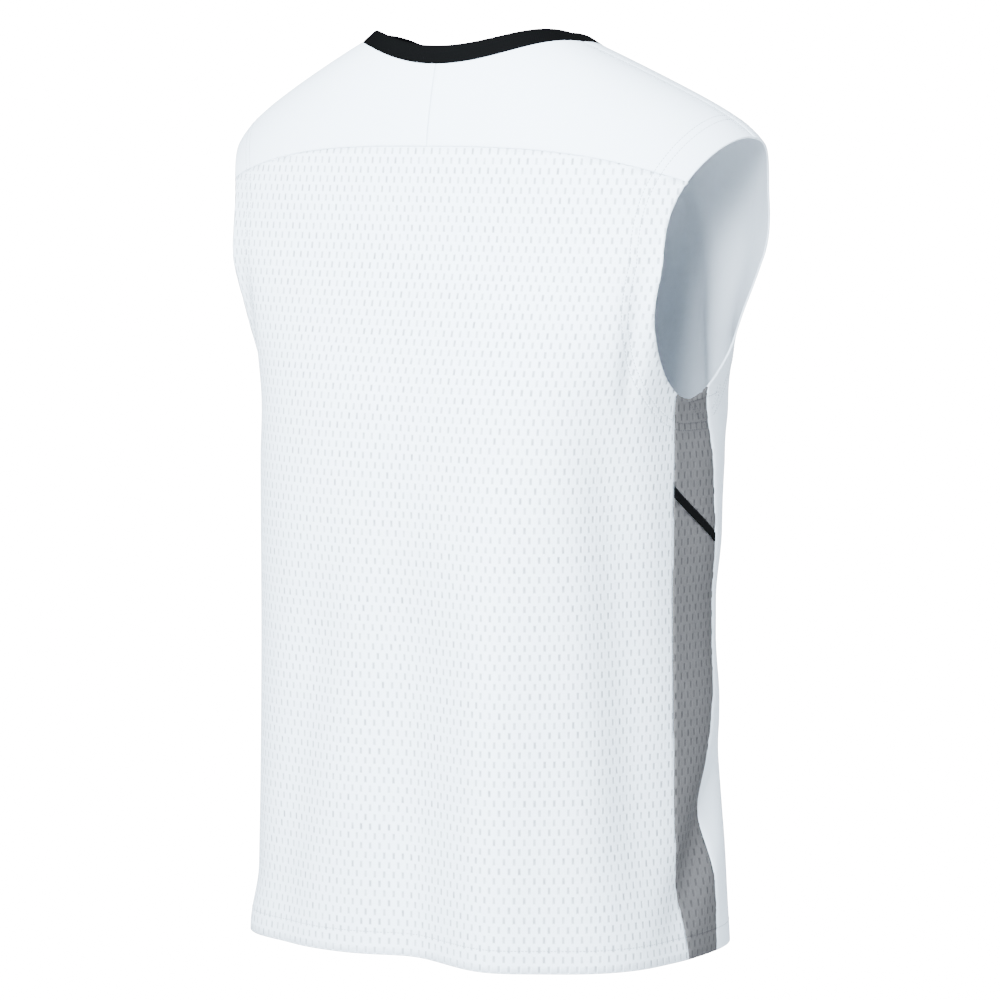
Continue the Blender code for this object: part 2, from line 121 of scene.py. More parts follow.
SECTIONS = (
    Section(-0.720, 0.1900, 0.163, 0.104, -0.032),
    Section(-0.600, 0.1862, 0.163, 0.106, -0.032),
    Section(-0.500, 0.1845, 0.163, 0.107, -0.032),
    Section(-0.340, 0.1840, 0.162, 0.110, -0.031),
    Section(-0.280, 0.1860, 0.150, 0.113, -0.026),
    Section(-0.225, 0.2060, 0.126, 0.117, -0.018),
    Section(-0.170, 0.2375, 0.107, 0.121, -0.012),
    Section(-0.120, 0.2386, 0.106, 0.123, -0.012),
    Section(-0.070, 0.2435, 0.106, 0.123, -0.012),
    Section(0.050, 0.2480, 0.106, 0.123, -0.012),
)

FOLDS = (
    Fold(-1, -3, 12, -0.20, -0.62, -0.70, -0.90, -0.014),
    Fold(-30, -27, 10, -0.20, -0.55, -0.70, -0.90, 0.011),
    Fold(-53, -66, 9, -0.23, -0.36, -0.60, -0.73, -0.009),
    Fold(-91, -91, 11, -0.25, -0.34, -0.60, -0.76, 0.008),
    Fold(-111, -110, 10, -0.28, -0.40, -0.52, -0.78, -0.013),
    Fold(-97, -90, 9, -0.46, -0.59, -0.60, -0.67, -0.005),
    Fold(-99, -68, 6.5, -0.54, -0.61, -0.64, -0.75, -0.009),
    Fold(20, 44, 8, -0.34, -0.50, -0.66, -0.80, -0.006),
    Fold(57, 59, 15, -0.67, -0.72, -0.80, -0.90, 0.006),
    Fold(76, 80, 8, -0.30, -0.42, -0.56, -0.70, -0.007),
    Fold(92, 93, 12, -0.25, -0.36, -0.50, -0.66, 0.007),
    Fold(113, 104, 8, -0.38, -0.52, -0.60, -0.80, -0.009),
    Fold(-114, -111, 12, -0.13, -0.20, -0.25, -0.34, -0.007),
    Fold(114, 111, 12, -0.13, -0.20, -0.25, -0.34, -0.007),
    Fold(174, 177, 13, -0.24, -0.60, -0.70, -0.95, -0.010),
    Fold(-154, -157, 10, -0.26, -0.56, -0.70, -0.95, 0.008),
    Fold(149, 152, 9, -0.22, -0.50, -0.70, -0.95, 0.007),
    Fold(-134, -139, 8, -0.34, -0.50, -0.66, -0.80, -0.006),
    Fold(131, 126, 8, -0.25, -0.42, -0.60, -0.80, -0.007),
    Fold(-66, -61, 2.6, -0.15, -0.20, -0.25, -0.31, -0.0045),
    Fold(65, 62, 3.0, -0.16, -0.21, -0.26, -0.33, -0.0035),
    Fold(-134, -113, 4.5, -0.06, -0.13, -0.27, -0.36, -0.010),
    Fold(133, 114, 5.0, -0.07, -0.14, -0.27, -0.36, -0.009),
    Fold(-113, -113, 11, -0.23, -0.26, -0.29, -0.33, 0.0045),
    Fold(-100, -100, 15, -0.39, -0.445, -0.470, -0.53, -0.0050),
)


def smooth_step(value: Grid) -> Grid:
    """0 below 0, 1 above 1 and an even S between."""
    share = np.clip(value, 0.0, 1.0)
    return share * share * (3.0 - 2.0 * share)


def dot(one: Grid, other: Grid) -> Grid:
    """Dot products along the last axis, kept as a column."""
    return (one * other).sum(axis=-1, keepdims=True)


def unit(vectors: Grid) -> Grid:
    """The same directions with a length of 1."""
    return vectors / np.linalg.norm(vectors, axis=-1, keepdims=True)


def run_along(points: Grid, axis: int = 0) -> Grid:
    """Length of the way from the first point to each one, along an axis."""
    steps = np.linalg.norm(np.diff(points, axis=axis), axis=-1)
    return np.concatenate([np.zeros_like(steps.take([0], axis)), np.cumsum(steps, axis=axis)], axis=axis)


def places(angle: Grid, rise: Grid) -> Grid:
    """Pairs of angle and rise along a line."""
    return np.stack(np.broadcast_arrays(angle, rise), axis=-1)


def mirrored(line: Grid) -> Grid:
    """The same line on the wearer's other side."""
    return line * np.array([-1.0, 1.0])


def far_side(line: Grid) -> Grid:
    """The mirrored line, with its angles counted on past the centre front."""
    return ONCE_ROUND + mirrored(line)


def linked(name: str, data: bpy.types.ID) -> bpy.types.Object:
    """Puts a mesh, a lamp or a lens in the scene.

    Args:
        name: the object's name.
        data: what it shows.

    Returns:
        The object.
    """
    made = bpy.data.objects.new(name, data)
    bpy.context.scene.collection.objects.link(made)
    return made


def mesh_from(bm: bmesh.types.BMesh, name: str) -> bpy.types.Mesh:
    """Turns a finished bmesh into a mesh and frees it.

    Args:
        bm: the bmesh.
        name: the mesh's name.

    Returns:
        The mesh.
    """
    mesh = bpy.data.meshes.new(name)
    bm.to_mesh(mesh)
    bm.free()
    return mesh


@dataclass(frozen=True)
class BodyShell:
    """The form that a wearer gives the top: level superellipse sections that close to a shoulder ridge."""

    hem_height: float = -0.720
    hem_drop: float = 0.0035
    closing_height: float = -0.245
    closing_power: float = 2.35
    closing_rounds: int = 9
    back_power: float = 2.9
    front_power: float = 3.15
    ridge_top: float = 0.0238
    ridge_slope: float = 0.523
    ridge_rounding: float = 0.0564
    ridge_tip_drop: float = 0.007
    ridge_tip_power: float = 14.0
    ridge_back: float = 0.0278
    ridge_forward: float = 0.0471
    ridge_curve: float = 1.5
    shoulder_half_width: float = 0.228

    @cached_property
    def columns(self) -> dict[str, tuple[Grid, Grid, Grid]]:
        """Reads the sections by column.

        Returns:
            Heights, values and slopes of each column.
        """
        heights = np.array([row.height for row in SECTIONS])
        found = {}
        for column in ("half_width", "back_depth", "front_depth", "middle"):
            values = np.array([getattr(row, column) for row in SECTIONS])
            found[column] = heights, values, np.gradient(values, heights)
        return found

    def section_value(self, height: Grid, column: str) -> Grid:
        """One column of the sections, on a smooth curve through its rows.

        Args:
            height: heights to read it at.
            column: the section's field.

        Returns:
            The column's value at each height.
        """
        heights, values, slopes = self.columns[column]
        height = np.clip(height, heights[0], heights[-1])
        low = np.clip(np.searchsorted(heights, height) - 1, 0, len(heights) - 2)
        span = heights[low + 1] - heights[low]
        share = (height - heights[low]) / span
        start = (1.0 + 2.0 * share) * (1.0 - share) ** 2
        start_slope = share * (1.0 - share) ** 2 * span
        end_slope = share**2 * (share - 1.0) * span
        straight = values[low] * start + values[low + 1] * (1.0 - start)
        return straight + slopes[low] * start_slope + slopes[low + 1] * end_slope

    def ridge(self, x: Grid) -> tuple[Grid, Grid]:
        """The shoulder ridge at a distance from the middle.

        Args:
            x: distances from the middle.

        Returns:
            Where the ridge lies from front to back, and its height.
        """
        out = np.abs(x) / self.shoulder_half_width
        run = np.sqrt(x * x + self.ridge_rounding**2) - self.ridge_rounding
        height = self.ridge_top - self.ridge_slope * run - self.ridge_tip_drop * out**self.ridge_tip_power
        return self.ridge_back - self.ridge_forward * out**self.ridge_curve, height

    def depth_and_power(self, angle: Grid, height: Grid) -> tuple[Grid, Grid]:
        """Half-depth and squareness of the section on the side that the angle points to.

        Args:
            angle: angles round the body.
            height: heights of the section.

        Returns:
            The half-depths and the superellipse powers.
        """
        behind = np.cos(angle) >= 0.0
        back = self.section_value(height, "back_depth")
        front = self.section_value(height, "front_depth")
        return np.where(behind, back, front), np.where(behind, self.back_power, self.front_power)

    def open_section(self, angle: Grid, height: Grid) -> tuple[Grid, Grid]:
        """A level section, before the shoulders close it.

        Args:
            angle: angles round the body.
            height: heights of the section.

        Returns:
            x and y.
        """
        depth, power = self.depth_and_power(angle, height)
        wide = np.abs(np.sin(angle)) / self.section_value(height, "half_width")
        deep = np.abs(np.cos(angle)) / depth
        radius = (wide**power + deep**power) ** (-1.0 / power)
        middle = self.section_value(height, "middle")
        return radius * np.sin(angle), middle + radius * np.cos(angle)

    def smooth(self, angle: Grid, rise: Grid) -> Grid:
        """The shell without its folds.

        Args:
            angle: angles round the body.
            rise: rises of the places.

        Returns:
            Points, with x, y and z along the last axis.
        """
        turn = np.clip(rise, 0.0, 1.0) * math.pi / 2.0
        climb = np.sin(turn) ** (2.0 / self.closing_power)
        reach = np.abs(np.cos(turn)) ** (2.0 / self.closing_power)
        start = self.closing_height + np.minimum(rise, 0.0)
        height = start
        for _ in range(self.closing_rounds):
            x, y = self.open_section(angle, height)
            middle, ridge_height = self.ridge(x)
            height = start + (ridge_height - self.closing_height) * climb
        y = np.where(rise > 0.0, middle + (y - middle) * reach, y)
        return np.stack(np.broadcast_arrays(x, y, height), axis=-1)

    def rise_at(self, angle: Grid, height: Grid) -> Grid:
        """The rise that belongs to a height.

        Args:
            angle: angles round the body.
            height: heights.

        Returns:
            The rises.
        """
        full = self.ridge(self.open_section(angle, height)[0])[1] - self.closing_height
        above = height - self.closing_height
        turn = np.arcsin(np.clip(above / full, 0.0, 1.0) ** (self.closing_power / 2.0))
        return np.where(above > 0.0, turn * 2.0 / math.pi, above)

    def fold_depth(self, angle: Grid, height: Grid) -> Grid:
        """How far the folds push the cloth out or, where negative, in.

        Args:
            angle: angles round the body.
            height: heights.

        Returns:
            The distances.
        """
        total = np.zeros_like(height)
        for fold in FOLDS:
            along = np.clip((fold.start - height) / (fold.start - fold.end), 0.0, 1.0)
            axis = fold.first_angle + (fold.last_angle - fold.first_angle) * along
            off_axis = (np.degrees(angle) - axis + 180.0) % 360.0 - 180.0
            grown = smooth_step((fold.start - height) / (fold.start - fold.full))
            left = 1.0 - smooth_step((fold.fade - height) / (fold.fade - fold.end))
            total += fold.depth * grown * left * np.exp(-((off_axis / fold.width) ** 2))
        return total

    def outward(self, surface: Callable[[Grid, Grid], Grid], angle: Grid, rise: Grid) -> Grid:
        """Directions that point straight out of a surface, away from the wearer.

        Args:
            surface: the method that gives the surface's points.
            angle: angles round the body.
            rise: rises of the places.

        Returns:
            Unit vectors along the last axis.
        """
        low = np.minimum(rise, 1.0 - STEP)
        around = surface(angle + STEP, rise) - surface(angle - STEP, rise)
        upward = surface(angle, low + STEP) - surface(angle, low - STEP)
        return unit(np.cross(upward, around))

    def folded(self, angle: Grid, rise: Grid) -> Grid:
        """The outer face of the cloth.

        Args:
            angle: angles round the body.
            rise: rises of the places.

        Returns:
            Points, with x, y and z along the last axis.
        """
        points = self.smooth(angle, rise)
        depth = self.fold_depth(angle, points[..., 2])
        return points + self.outward(self.smooth, angle, rise) * depth[..., None]

    def laid(self, angle: Grid, rise: Grid, out: Grid) -> Grid:
        """Places moved straight out of the cloth's face.

        Args:
            angle: angles round the body.
            rise: rises of the places.
            out: how far out, negative toward the wearer.

        Returns:
            Points, with x, y and z along the last axis.
        """
        offset = np.broadcast_to(out, np.shape(angle))[..., None]
        return self.folded(angle, rise) + self.outward(self.folded, angle, rise) * offset

    def walked(self, line: Grid, heading: Grid, distance: float, paces: int = 20) -> Grid:
        """Places reached by walking straight ahead over the smooth shell.

        Args:
            line: places to start from.
            heading: direction to set out in from each of them.
            distance: how far to walk.
            paces: number of paces.

        Returns:
            The places reached.
        """
        for _ in range(paces):
            angle, rise = line[:, 0], np.minimum(line[:, 1], 1.0 - 2.0 * STEP)
            around = (self.smooth(angle + STEP, rise) - self.smooth(angle - STEP, rise)) / (2.0 * STEP)
            upward = (self.smooth(angle, rise + STEP) - self.smooth(angle, rise - STEP)) / (2.0 * STEP)
            skew, turned, climbed = dot(around, upward), dot(around, heading), dot(upward, heading)
            wide, tall = dot(around, around), dot(upward, upward)
            turn = (tall * turned - skew * climbed) / (wide * tall - skew * skew)
            climb = (wide * climbed - skew * turned) / (wide * tall - skew * skew)
            flat = around * turn + upward * climb
            size = np.linalg.norm(flat, axis=1, keepdims=True)
            line = line + np.concatenate([turn, climb], axis=1) * (distance / paces / size)
            line[:, 1] = np.minimum(line[:, 1], 1.0)
            heading = flat / size
        return line


@dataclass(frozen=True)
class CutLines:
    """Where the pieces are cut and sewn to each other, on the wearer's left side of the shell."""

    shell: BodyShell = field(default_factory=BodyShell)
    neck_half_width: float = 0.100
    neck_heights: Pair = (-0.0236, -0.095)
    neck_powers: Pair = (1.45, 1.15)
    armhole_y: float = -0.0142
    armhole_z: float = -0.1814
    armhole_half_width: float = 0.0776
    armhole_half_height: float = 0.1012
    armhole_lean: float = 0.012
    armhole_upper_power: float = 2.0
    armhole_lower_power: float = 1.76
    armhole_search: float = math.radians(75)
    armhole_samples: int = 1200
    armhole_half_points: int = 260
    armhole_start: float = 1e-5
    yoke_height: float = -0.088
    yoke_end_drop: float = 0.027
    yoke_end_x: float = 0.210
    back_seam_y: float = 0.0155
    front_seam_y: float = -0.0285
    seam_hem_shift: float = -0.015
    seam_shift_start: float = -0.600
    front_seam_bow: float = -0.0105
    bow_heights: tuple[float, float, float, float] = (-0.270, -0.430, -0.475, -0.600)
    stripe_back_top: float = -0.349
    stripe_front_top: float = -0.389
    stripe_height: float = 0.009

    def armhole_middle(self, z: Grid) -> Grid:
        """Middle of the armhole's oval at a height, further back toward its lower end."""
        below = np.clip((self.armhole_z - z) / self.armhole_half_height, 0.0, 1.0)
        return self.armhole_y + self.armhole_lean * below

    def outside_armhole(self, y: Grid, z: Grid) -> Grid:
        """Whether places lie outside the armhole's oval.

        Args:
            y: distances from front to back.
            z: heights.

        Returns:
            True where there is cloth.
        """
        across = np.abs(y - self.armhole_middle(z)) / self.armhole_half_width
        along = np.abs(z - self.armhole_z) / self.armhole_half_height
        power = np.where(z > self.armhole_z, self.armhole_upper_power, self.armhole_lower_power)
        return across**power + along**power > 1.0

    def armhole_bottom(self, y: Grid) -> Grid:
        """The armhole's lower edge.

        Args:
            y: distances from front to back.

        Returns:
            Heights.
        """
        height = self.armhole_z - self.armhole_half_height
        power = self.armhole_lower_power
        for _ in range(ROUNDS):
            across = np.minimum(np.abs(y - self.armhole_middle(height)) / self.armhole_half_width, 1.0)
            height = self.armhole_z - self.armhole_half_height * (1.0 - across**power) ** (1.0 / power)
        return height

    def armhole_angle(self, rise: Grid, half: Half) -> Grid:
        """Angle where the cloth of one half ends at the armhole.

        Args:
            rise: rises along the edge.
            half: the back or the front cloth.

        Returns:
            Angles, on the wearer's left.
        """
        side = np.full_like(rise, math.pi / 2.0)
        inner = side - half.value * self.armhole_search
        for _ in range(ROUNDS):
            halfway = (inner + side) / 2.0
            points = self.shell.smooth(halfway, rise)
            on_cloth = self.outside_armhole(points[..., 1], points[..., 2])
            inner = np.where(on_cloth, halfway, inner)
            side = np.where(on_cloth, side, halfway)
        return inner

    def angle_at_y(self, y: Grid, height: Grid) -> Grid:
        """Angle of a level section's point on the wearer's left.

        Args:
            y: distances from front to back.
            height: heights below the closing height.

        Returns:
            Angles.
        """
        shell = self.shell
        off_middle = y - shell.section_value(height, "middle")
        facing = np.where(off_middle >= 0.0, 0.0, math.pi)
        depth, power = shell.depth_and_power(facing, height)
        share = (np.abs(off_middle) / depth) ** power
        x = shell.section_value(height, "half_width") * (1.0 - share) ** (1.0 / power)
        return np.arctan2(x, off_middle)

    def angle_at_x(self, x: Grid, rise: Grid, half: Half) -> Grid:
        """Angle of the back or front cloth at a distance from the middle.

        Args:
            x: distances from the middle.
            rise: rises of the places.
            half: the back or the front cloth.

        Returns:
            Angles, on the wearer's left.
        """
        shell = self.shell
        facing = np.full_like(rise, 0.0 if half is Half.BACK else math.pi)
        angle = np.arctan2(x, half.value * SECTIONS[-1].back_depth)
        for _ in range(ROUNDS):
            height = shell.smooth(angle, rise)[..., 2]
            depth, power = shell.depth_and_power(facing, height)
            share = (np.abs(x) / shell.section_value(height, "half_width")) ** power
            angle = np.arctan2(x, half.value * depth * (1.0 - share) ** (1.0 / power))
        return angle

    def yoke_seam_height(self, x: Grid) -> Grid:
        """Height of the yoke seam at a distance from the middle."""
        return self.yoke_height - self.yoke_end_drop * (np.abs(x) / self.yoke_end_x) ** 3

    def yoke_seam(self, columns: int) -> Grid:
        """The yoke seam from the centre back to the armhole.

        Args:
            columns: number of steps.

        Returns:
            Places along it.
        """
        shell, end_rise = self.shell, np.array(0.5)
        for _ in range(ROUNDS):
            end_angle = self.armhole_angle(end_rise, Half.BACK)
            end_x = shell.smooth(end_angle, end_rise)[..., 0]
            end_rise = shell.rise_at(end_angle, self.yoke_seam_height(end_x))
        angle = np.linspace(0.0, end_angle, columns + 1)
        height = np.full_like(angle, self.yoke_height)
        for _ in range(ROUNDS):
            height = self.yoke_seam_height(shell.open_section(angle, height)[0])
        return places(angle, shell.rise_at(angle, height))

    def neck_seam(self, half: Half, columns: int) -> Grid:
        """One half of the neck seam, from the centre out.

        Args:
            half: the back or the front cloth.
            columns: number of steps.

        Returns:
            Places along it.
        """
        which, centre = (0, 0.0) if half is Half.BACK else (1, math.pi)
        centre_rise = self.shell.rise_at(np.array(centre), np.array(self.neck_heights[which]))
        turn = np.linspace(0.0, math.pi / 2.0, columns + 1)
        rise = 1.0 - (1.0 - centre_rise) * np.cos(turn) ** self.neck_powers[which]
        return places(self.angle_at_x(self.neck_half_width * np.sin(turn), rise, half), rise)

    def shoulder_seam(self, half: Half, columns: int) -> Grid:
        """The shoulder ridge from the neck seam to the armhole.

        Args:
            half: the back or the front cloth.
            columns: number of steps.

        Returns:
            Places along it.
        """
        ridge = np.array(1.0)
        tip_x = self.shell.smooth(self.armhole_angle(ridge, half), ridge)[..., 0]
        x = np.linspace(self.neck_half_width, tip_x, columns + 1)
        return places(self.angle_at_x(x, np.ones_like(x), half), 1.0)

    def armhole_edge(self, start_rise: float, rows: int, half: Half) -> Grid:
        """The armhole's edge up to the shoulder ridge, in even steps of its length.

        Args:
            start_rise: rise of the lower end.
            rows: number of steps.
            half: the back or the front cloth.

        Returns:
            Places along the edge, from low to high.
        """
        rise = np.linspace(start_rise, 1.0, self.armhole_samples)
        run = run_along(self.shell.smooth(self.armhole_angle(rise, half), rise))
        rise = np.interp(np.linspace(0.0, run[-1], rows + 1), run, rise)
        return places(self.armhole_angle(rise, half), rise)

    def hem_line(self, angle: Grid) -> Grid:
        """Places along the hem, which hangs a little lower at the sides."""
        height = self.shell.hem_height - self.shell.hem_drop * np.sin(angle) ** 2
        return places(angle, height - self.shell.closing_height)

    def toward_front(self, y: Grid) -> Grid:
        """0 at the back seam of a side panel and 1 at its front seam."""
        return (self.back_seam_y - y) / (self.back_seam_y - self.front_seam_y)

    def seam_angle(self, y: Grid, height: Grid) -> Grid:
        """Angle of a side seam. Both run forward toward the hem, and the front one bows forward.

        Args:
            y: distances from front to back, of a seam or of places between the two.
            height: heights below the closing height.

        Returns:
            Angles, on the wearer's left.
        """
        reach = self.seam_shift_start - self.shell.hem_height
        shift = self.seam_hem_shift * smooth_step((self.seam_shift_start - height) / reach)
        top, full, fade, end = self.bow_heights
        bow = smooth_step((top - height) / (top - full)) - smooth_step((fade - height) / (fade - end))
        return self.angle_at_y(y + shift + self.front_seam_bow * self.toward_front(y) * bow, height)

    def side_seam(self, y: float, rows: int) -> Grid:
        """A side seam from the hem to the armhole.

        Args:
            y: how far it lies from front to back, under the armhole.
            rows: number of steps.

        Returns:
            Places along it.
        """
        height = np.linspace(self.shell.hem_height, self.armhole_bottom(y), rows + 1)
        seam = places(self.seam_angle(y, height), height - self.shell.closing_height)
        seam[0] = self.hem_line(seam[0, 0])
        return seam

    def stripe_top(self, y: Grid) -> Grid:
        """Height of the stripe's upper edge at a distance from front to back."""
        return self.stripe_back_top + (self.stripe_front_top - self.stripe_back_top) * self.toward_front(y)

    def on_side_panel(self, line: Grid) -> Grid:
        """Whether places lie on one of the side panels.

        Args:
            line: the places.

        Returns:
            True for each that does.
        """
        height = self.shell.closing_height + np.minimum(line[:, 1], 0.0)
        angle = np.abs((line[:, 0] + math.pi) % FULL_TURN - math.pi)
        back, front = (self.seam_angle(y, height) for y in (self.back_seam_y, self.front_seam_y))
        return (line[:, 1] < 0.0) & (angle > back) & (angle < front)

    @cached_property
    def armhole_ring(self) -> Grid:
        """The armhole's whole edge, up the back to the ridge and down the front.

        Returns:
            Dense places.
        """
        low = self.armhole_z - self.armhole_half_height - self.shell.closing_height + self.armhole_start
        back, front = (self.armhole_edge(low, self.armhole_half_points, half) for half in Half)
        return np.concatenate([back, front[-2:0:-1]])

    @cached_property
    def armhole_points(self) -> Grid:
        """Points of the armhole's edge on the smooth shell."""
        return self.shell.smooth(self.armhole_ring[:, 0], self.armhole_ring[:, 1])


@dataclass(frozen=True)
class LevelCloth:
    """Flat cloth whose threads run level round the body: turns its widths and lengths into places."""

    shell: BodyShell
    low: float
    high: float
    first: float
    middle: float
    last: float
    rows: int = 140
    columns: int = 360

    @cached_property
    def heights(self) -> Grid:
        """Heights of the measured rows."""
        return np.linspace(self.low, self.high, self.rows)

    @cached_property
    def angles(self) -> Grid:
        """Angles of the measured columns."""
        return np.linspace(self.first, self.last, self.columns)

    @cached_property
    def points(self) -> Grid:
        """Measured points of the smooth shell, by row and column."""
        angle, height = np.meshgrid(self.angles, self.heights)
        return self.shell.smooth(angle, self.shell.rise_at(angle, height))

    @cached_property
    def across(self) -> Grid:
        """Widths from the middle line, by row and column."""
        widths = run_along(self.points, 1)
        return widths - np.array([np.interp(self.middle, self.angles, row) for row in widths])[:, None]

    @cached_property
    def up(self) -> Grid:
        """Lengths from the lowest row to each one, along the middle line."""
        return run_along(self.points[:, int(np.argmin(np.abs(self.angles - self.middle)))])

    def length_at(self, height: Grid) -> Grid:
        """Length of cloth from its lowest edge up to a height."""
        return np.interp(height, self.heights, self.up)

    def height_at(self, length: Grid) -> Grid:
        """Height at a length of cloth above its lowest edge."""
        return np.interp(length, self.up, self.heights)

    def looked_up(self, value: Grid, height: Grid, known: Grid, wanted: Grid) -> Grid:
        """Reads one measured table by another, between two rows.

        Args:
            value: values of the known table.
            height: their heights.
            known: the known table, by row and column.
            wanted: the wanted table, by row and column.

        Returns:
            Values of the wanted table.
        """
        value, height = np.broadcast_arrays(value, height)
        row = (height - self.heights[0]) / (self.heights[1] - self.heights[0])
        low = np.clip(row, 0, self.rows - 2).astype(int)
        found = np.empty(value.shape)
        for line in np.unique(low):
            here = low == line
            near, far = (np.interp(value[here], known[at], wanted[at]) for at in (line, line + 1))
            found[here] = near + (far - near) * (row[here] - line)
        return found

    def width_at(self, angle: Grid, height: Grid) -> Grid:
        """Width of cloth from its middle line to an angle, at a height."""
        return self.looked_up(angle, height, np.broadcast_to(self.angles, self.across.shape), self.across)

    def angle_at(self, width: Grid, height: Grid) -> Grid:
        """Angle at a width of cloth from its middle line, at a height."""
        return self.looked_up(width, height, self.across, np.broadcast_to(self.angles, self.across.shape))


def plug(tree: bpy.types.NodeTree, node: bpy.types.Node, inputs: Inputs) -> None:
    """Fills a node's inputs.

    Args:
        tree: the tree that the node is in.
        node: the node.
        inputs: values or other nodes' sockets, by the input's name or number.
    """
    for name, value in inputs.items():
        if isinstance(value, Socket):
            tree.links.new(value, node.inputs[name])
        else:
            node.inputs[name].default_value = value


def add_node(tree: bpy.types.NodeTree, kind: str, inputs: Inputs, **settings: object) -> bpy.types.Node:
    """Adds a node to a tree.

    Args:
        tree: the tree.
        kind: the node's type.
        inputs: values or other nodes' sockets, by the input's name or number.
        settings: the node's own settings.

    Returns:
        The node.
    """
    node = tree.nodes.new(kind)
    for name, value in settings.items():
        setattr(node, name, value)
    plug(tree, node, inputs)
    return node


class Effect:
    """A shared shader effect, built as a node group with named sockets."""

    def __init__(self, name: str, inputs: Inputs, outputs: dict[str, str]):
        """Makes the group and its sockets.

        Args:
            name: the group's name.
            inputs: its inputs: a number or a colour where it has one, or None for a vector.
            outputs: its outputs and their kinds.
        """
        self.tree = bpy.data.node_groups.new(name, "ShaderNodeTree")
        for word, value in inputs.items():
            kind = {float: "NodeSocketFloat", tuple: "NodeSocketColor"}.get(type(value), "NodeSocketVector")
            socket = self.tree.interface.new_socket(word, in_out="INPUT", socket_type=kind)
            if value is not None:
                socket.default_value = value
        for word, kind in outputs.items():
            self.tree.interface.new_socket(word, in_out="OUTPUT", socket_type=kind)
        self.source = self.tree.nodes.new("NodeGroupInput").outputs
        self.result = self.tree.nodes.new("NodeGroupOutput").inputs

    def math(self, operation: str, *values: Socket | float | str) -> Socket:
        """Adds a math node.

        Args:
            operation: the node's operation.
            values: its inputs in order: numbers, sockets or names of the group's own inputs.

        Returns:
            The result's socket.
        """
        read = [self.source[value] if isinstance(value, str) else value for value in values]
        return add_node(self.tree, "ShaderNodeMath", dict(enumerate(read)), operation=operation).outputs[0]

    def uneven(self, scale: float, detail: float, amount: float) -> Socket:
        """A factor round 1 that wanders over the cloth.

        Args:
            scale: how many patches fit in a metre.
            detail: how finely the patches break up.
            amount: how far it wanders in all.

        Returns:
            The factor's socket.
        """
        pattern = {"Vector": self.source["Cloth"], "Scale": scale, "Detail": detail}
        noise = add_node(self.tree, "ShaderNodeTexNoise", pattern)
        return self.math("MULTIPLY_ADD", noise.outputs["Fac"], amount, 1.0 - amount / 2.0)

    def give(self, name: str, socket: Socket) -> None:
        """Sends a socket out of the group."""
        self.tree.links.new(socket, self.result[name])


def knit_loops() -> bpy.types.NodeTree:
    """Relief of knitted loops: upright wales whose loops lean to and fro from course to course.

    Returns:
        The effect's node group.
    """
    sizes = {"Cloth": None, "Wale": 0.0008, "Course": 0.0007, "Lean": 0.25, "Wave": 0.15, "Level": 0.5}
    effect = Effect("knit_loops", sizes, {"Height": "NodeSocketFloat"})
    flat = add_node(effect.tree, "ShaderNodeSeparateXYZ", {0: effect.source["Cloth"]}).outputs
    wave = effect.math("SINE", effect.math("MULTIPLY", effect.math("DIVIDE", flat[1], "Course"), FULL_TURN))
    wale = effect.math("ADD", effect.math("DIVIDE", flat[0], "Wale"), effect.math("MULTIPLY", wave, "Lean"))
    ridge = effect.math("ABSOLUTE", effect.math("SINE", effect.math("MULTIPLY", wale, math.pi)))
    effect.give("Height", effect.math("MULTIPLY", ridge, effect.math("MULTIPLY_ADD", wave, "Wave", "Level")))
    return effect.tree


def sewn_lines() -> bpy.types.NodeTree:
    """Shallow troughs where the cloth is drawn in: two rows round an armhole and one above the hem.

    Returns:
        The effect's node group.
    """
    rows = {"First": ARMHOLE_ROWS[0], "Second": ARMHOLE_ROWS[1], "Above Hem": HEM_ROW, "Width": 0.0010}
    effect = Effect("sewn_lines", {"Run": 1.0, "Hem": 1.0} | rows, {"Dip": "NodeSocketFloat"})
    dip = 0.0
    for distance, row in (("Run", "First"), ("Run", "Second"), ("Hem", "Above Hem")):
        off = effect.math("ABSOLUTE", effect.math("SUBTRACT", distance, row))
        dip = effect.math("MAXIMUM", effect.math("SUBTRACT", 1.0, effect.math("DIVIDE", off, "Width")), dip)
    effect.give("Dip", dip)
    return effect.tree


